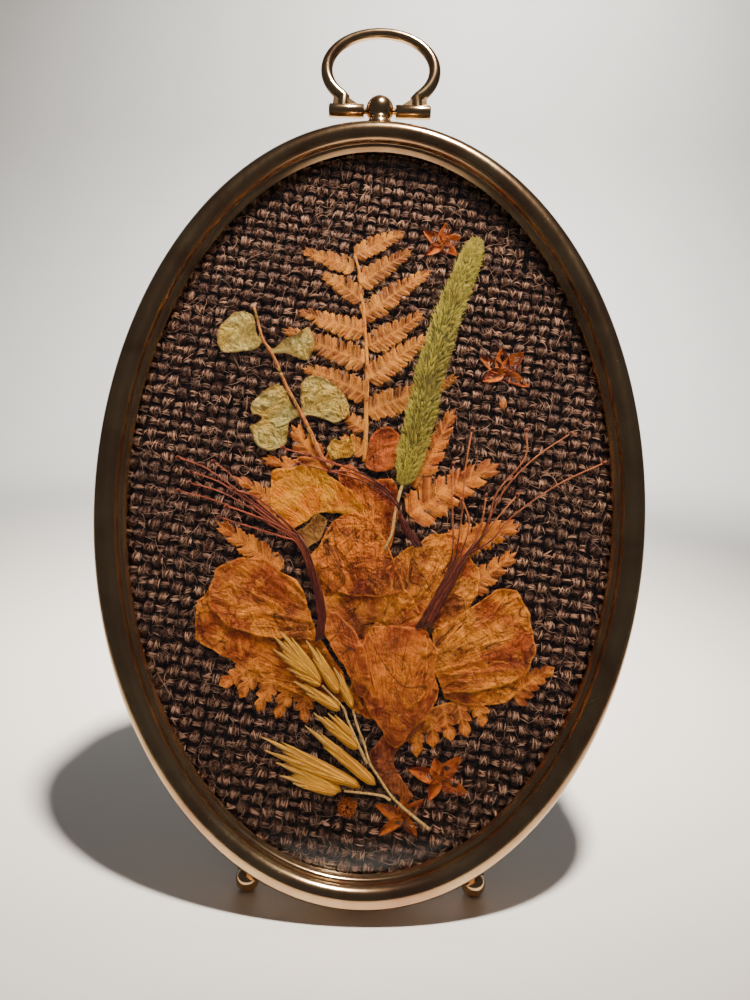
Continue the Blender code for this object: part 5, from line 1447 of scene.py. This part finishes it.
FOCAL_PIXELS, LONG_SIDE_PIXELS, SENSOR = 900.0, 1000.0, 36.0
CAMERA_PITCH, CAMERA_ROLL = math.radians(9.5), math.radians(1.4)
VIEW_DISTANCE, SHIFT_RIGHT, SHIFT_UP = 180.0, -0.96, 2.9
WORLD_COLOUR, WORLD_STRENGTH = (0.9, 0.9, 1.0, 1), 0.075
# The stage, in metres: its front edge, where its curve starts, the curve's radius, its top and half width.
STAGE_FRONT, STAGE_BEND, STAGE_RADIUS, STAGE_TOP, STAGE_HALF_WIDTH = -1.2, 0.55, 0.35, 1.6, 1.6


def make_camera():
    """The camera that the oval's perspective in the photo gives."""
    forward = np.array([0.0, math.cos(CAMERA_PITCH), -math.sin(CAMERA_PITCH)])
    level_up = np.array([0.0, math.sin(CAMERA_PITCH), math.cos(CAMERA_PITCH)])
    right = math.cos(CAMERA_ROLL) * RIGHT + math.sin(CAMERA_ROLL) * level_up
    up = -math.sin(CAMERA_ROLL) * RIGHT + math.cos(CAMERA_ROLL) * level_up
    aim = to_world([0, 0, RIM_CREST])
    place = aim - (VIEW_DISTANCE * forward + SHIFT_RIGHT * right + SHIFT_UP * up) * MM
    data = bpy.data.cameras.new("camera")
    data.lens = FOCAL_PIXELS / LONG_SIDE_PIXELS * SENSOR
    data.sensor_width = SENSOR
    data.clip_start = 0.005
    camera = add_object("camera", data)
    camera.matrix_world = Matrix.Translation(place) @ Matrix((right, up, -forward)).transposed().to_4x4()
    bpy.context.scene.camera = camera


def add_area_light(name, place, aim, size, watts, colour, spread_degrees):
    data = bpy.data.lights.new(name, "AREA")
    data.shape = "DISK"
    data.size = size
    data.spread = math.radians(spread_degrees)
    data.energy = watts
    data.color = colour
    light = add_object(name, data)
    light.location = place
    light.rotation_euler = (Vector(aim) - Vector(place)).to_track_quat("-Z", "Y").to_euler()


def make_light():
    add_area_light(
        "key_light", (0.09, -0.12, 0.62), aim=(0, 0.1, 0.08), size=0.055, watts=1.7, colour=(1.0, 0.9, 0.8),
        spread_degrees=44,
    )
    add_area_light(
        "backdrop_light", (0.25, 0.42, 1.1), aim=(0, 0.85, 0.1), size=0.4, watts=9.0,
        colour=(1.0, 0.97, 0.92), spread_degrees=75,
    )
    world = bpy.data.worlds.new("studio")
    world.use_nodes = True
    background = world.node_tree.nodes["Background"]
    background.inputs["Color"].default_value = WORLD_COLOUR
    background.inputs["Strength"].default_value = WORLD_STRENGTH
    bpy.context.scene.world = world


def make_stage():
    """A pale floor that curves up into a backdrop."""
    profile = [(STAGE_FRONT, 0.0), (STAGE_BEND, 0.0)]
    turns = np.linspace(0.1, math.pi / 2, 14)
    profile += [(STAGE_BEND + STAGE_RADIUS * math.sin(t), STAGE_RADIUS * (1 - math.cos(t))) for t in turns]
    profile += [(STAGE_BEND + STAGE_RADIUS, STAGE_TOP)]
    points = [(x, y, z) for y, z in profile for x in (-STAGE_HALF_WIDTH, STAGE_HALF_WIDTH)]
    mesh = bpy.data.meshes.new("pale_stage")
    mesh.from_pydata(points, [], grid_faces(len(profile), 2))
    mesh.shade_smooth()
    mesh.materials.append(FLOOR)
    add_object("pale_stage", mesh)


make_camera()
make_light()
make_stage()
make_bezel()
make_glass()
make_stud()
make_ring()
make_feet()
finish_back()
make_burlap()
make_tufts()
make_fibres()
make_ferns()
make_petals()
make_stamens()
make_twig()
make_oats()
make_small_flowers()
make_seed()
make_grass_spike()
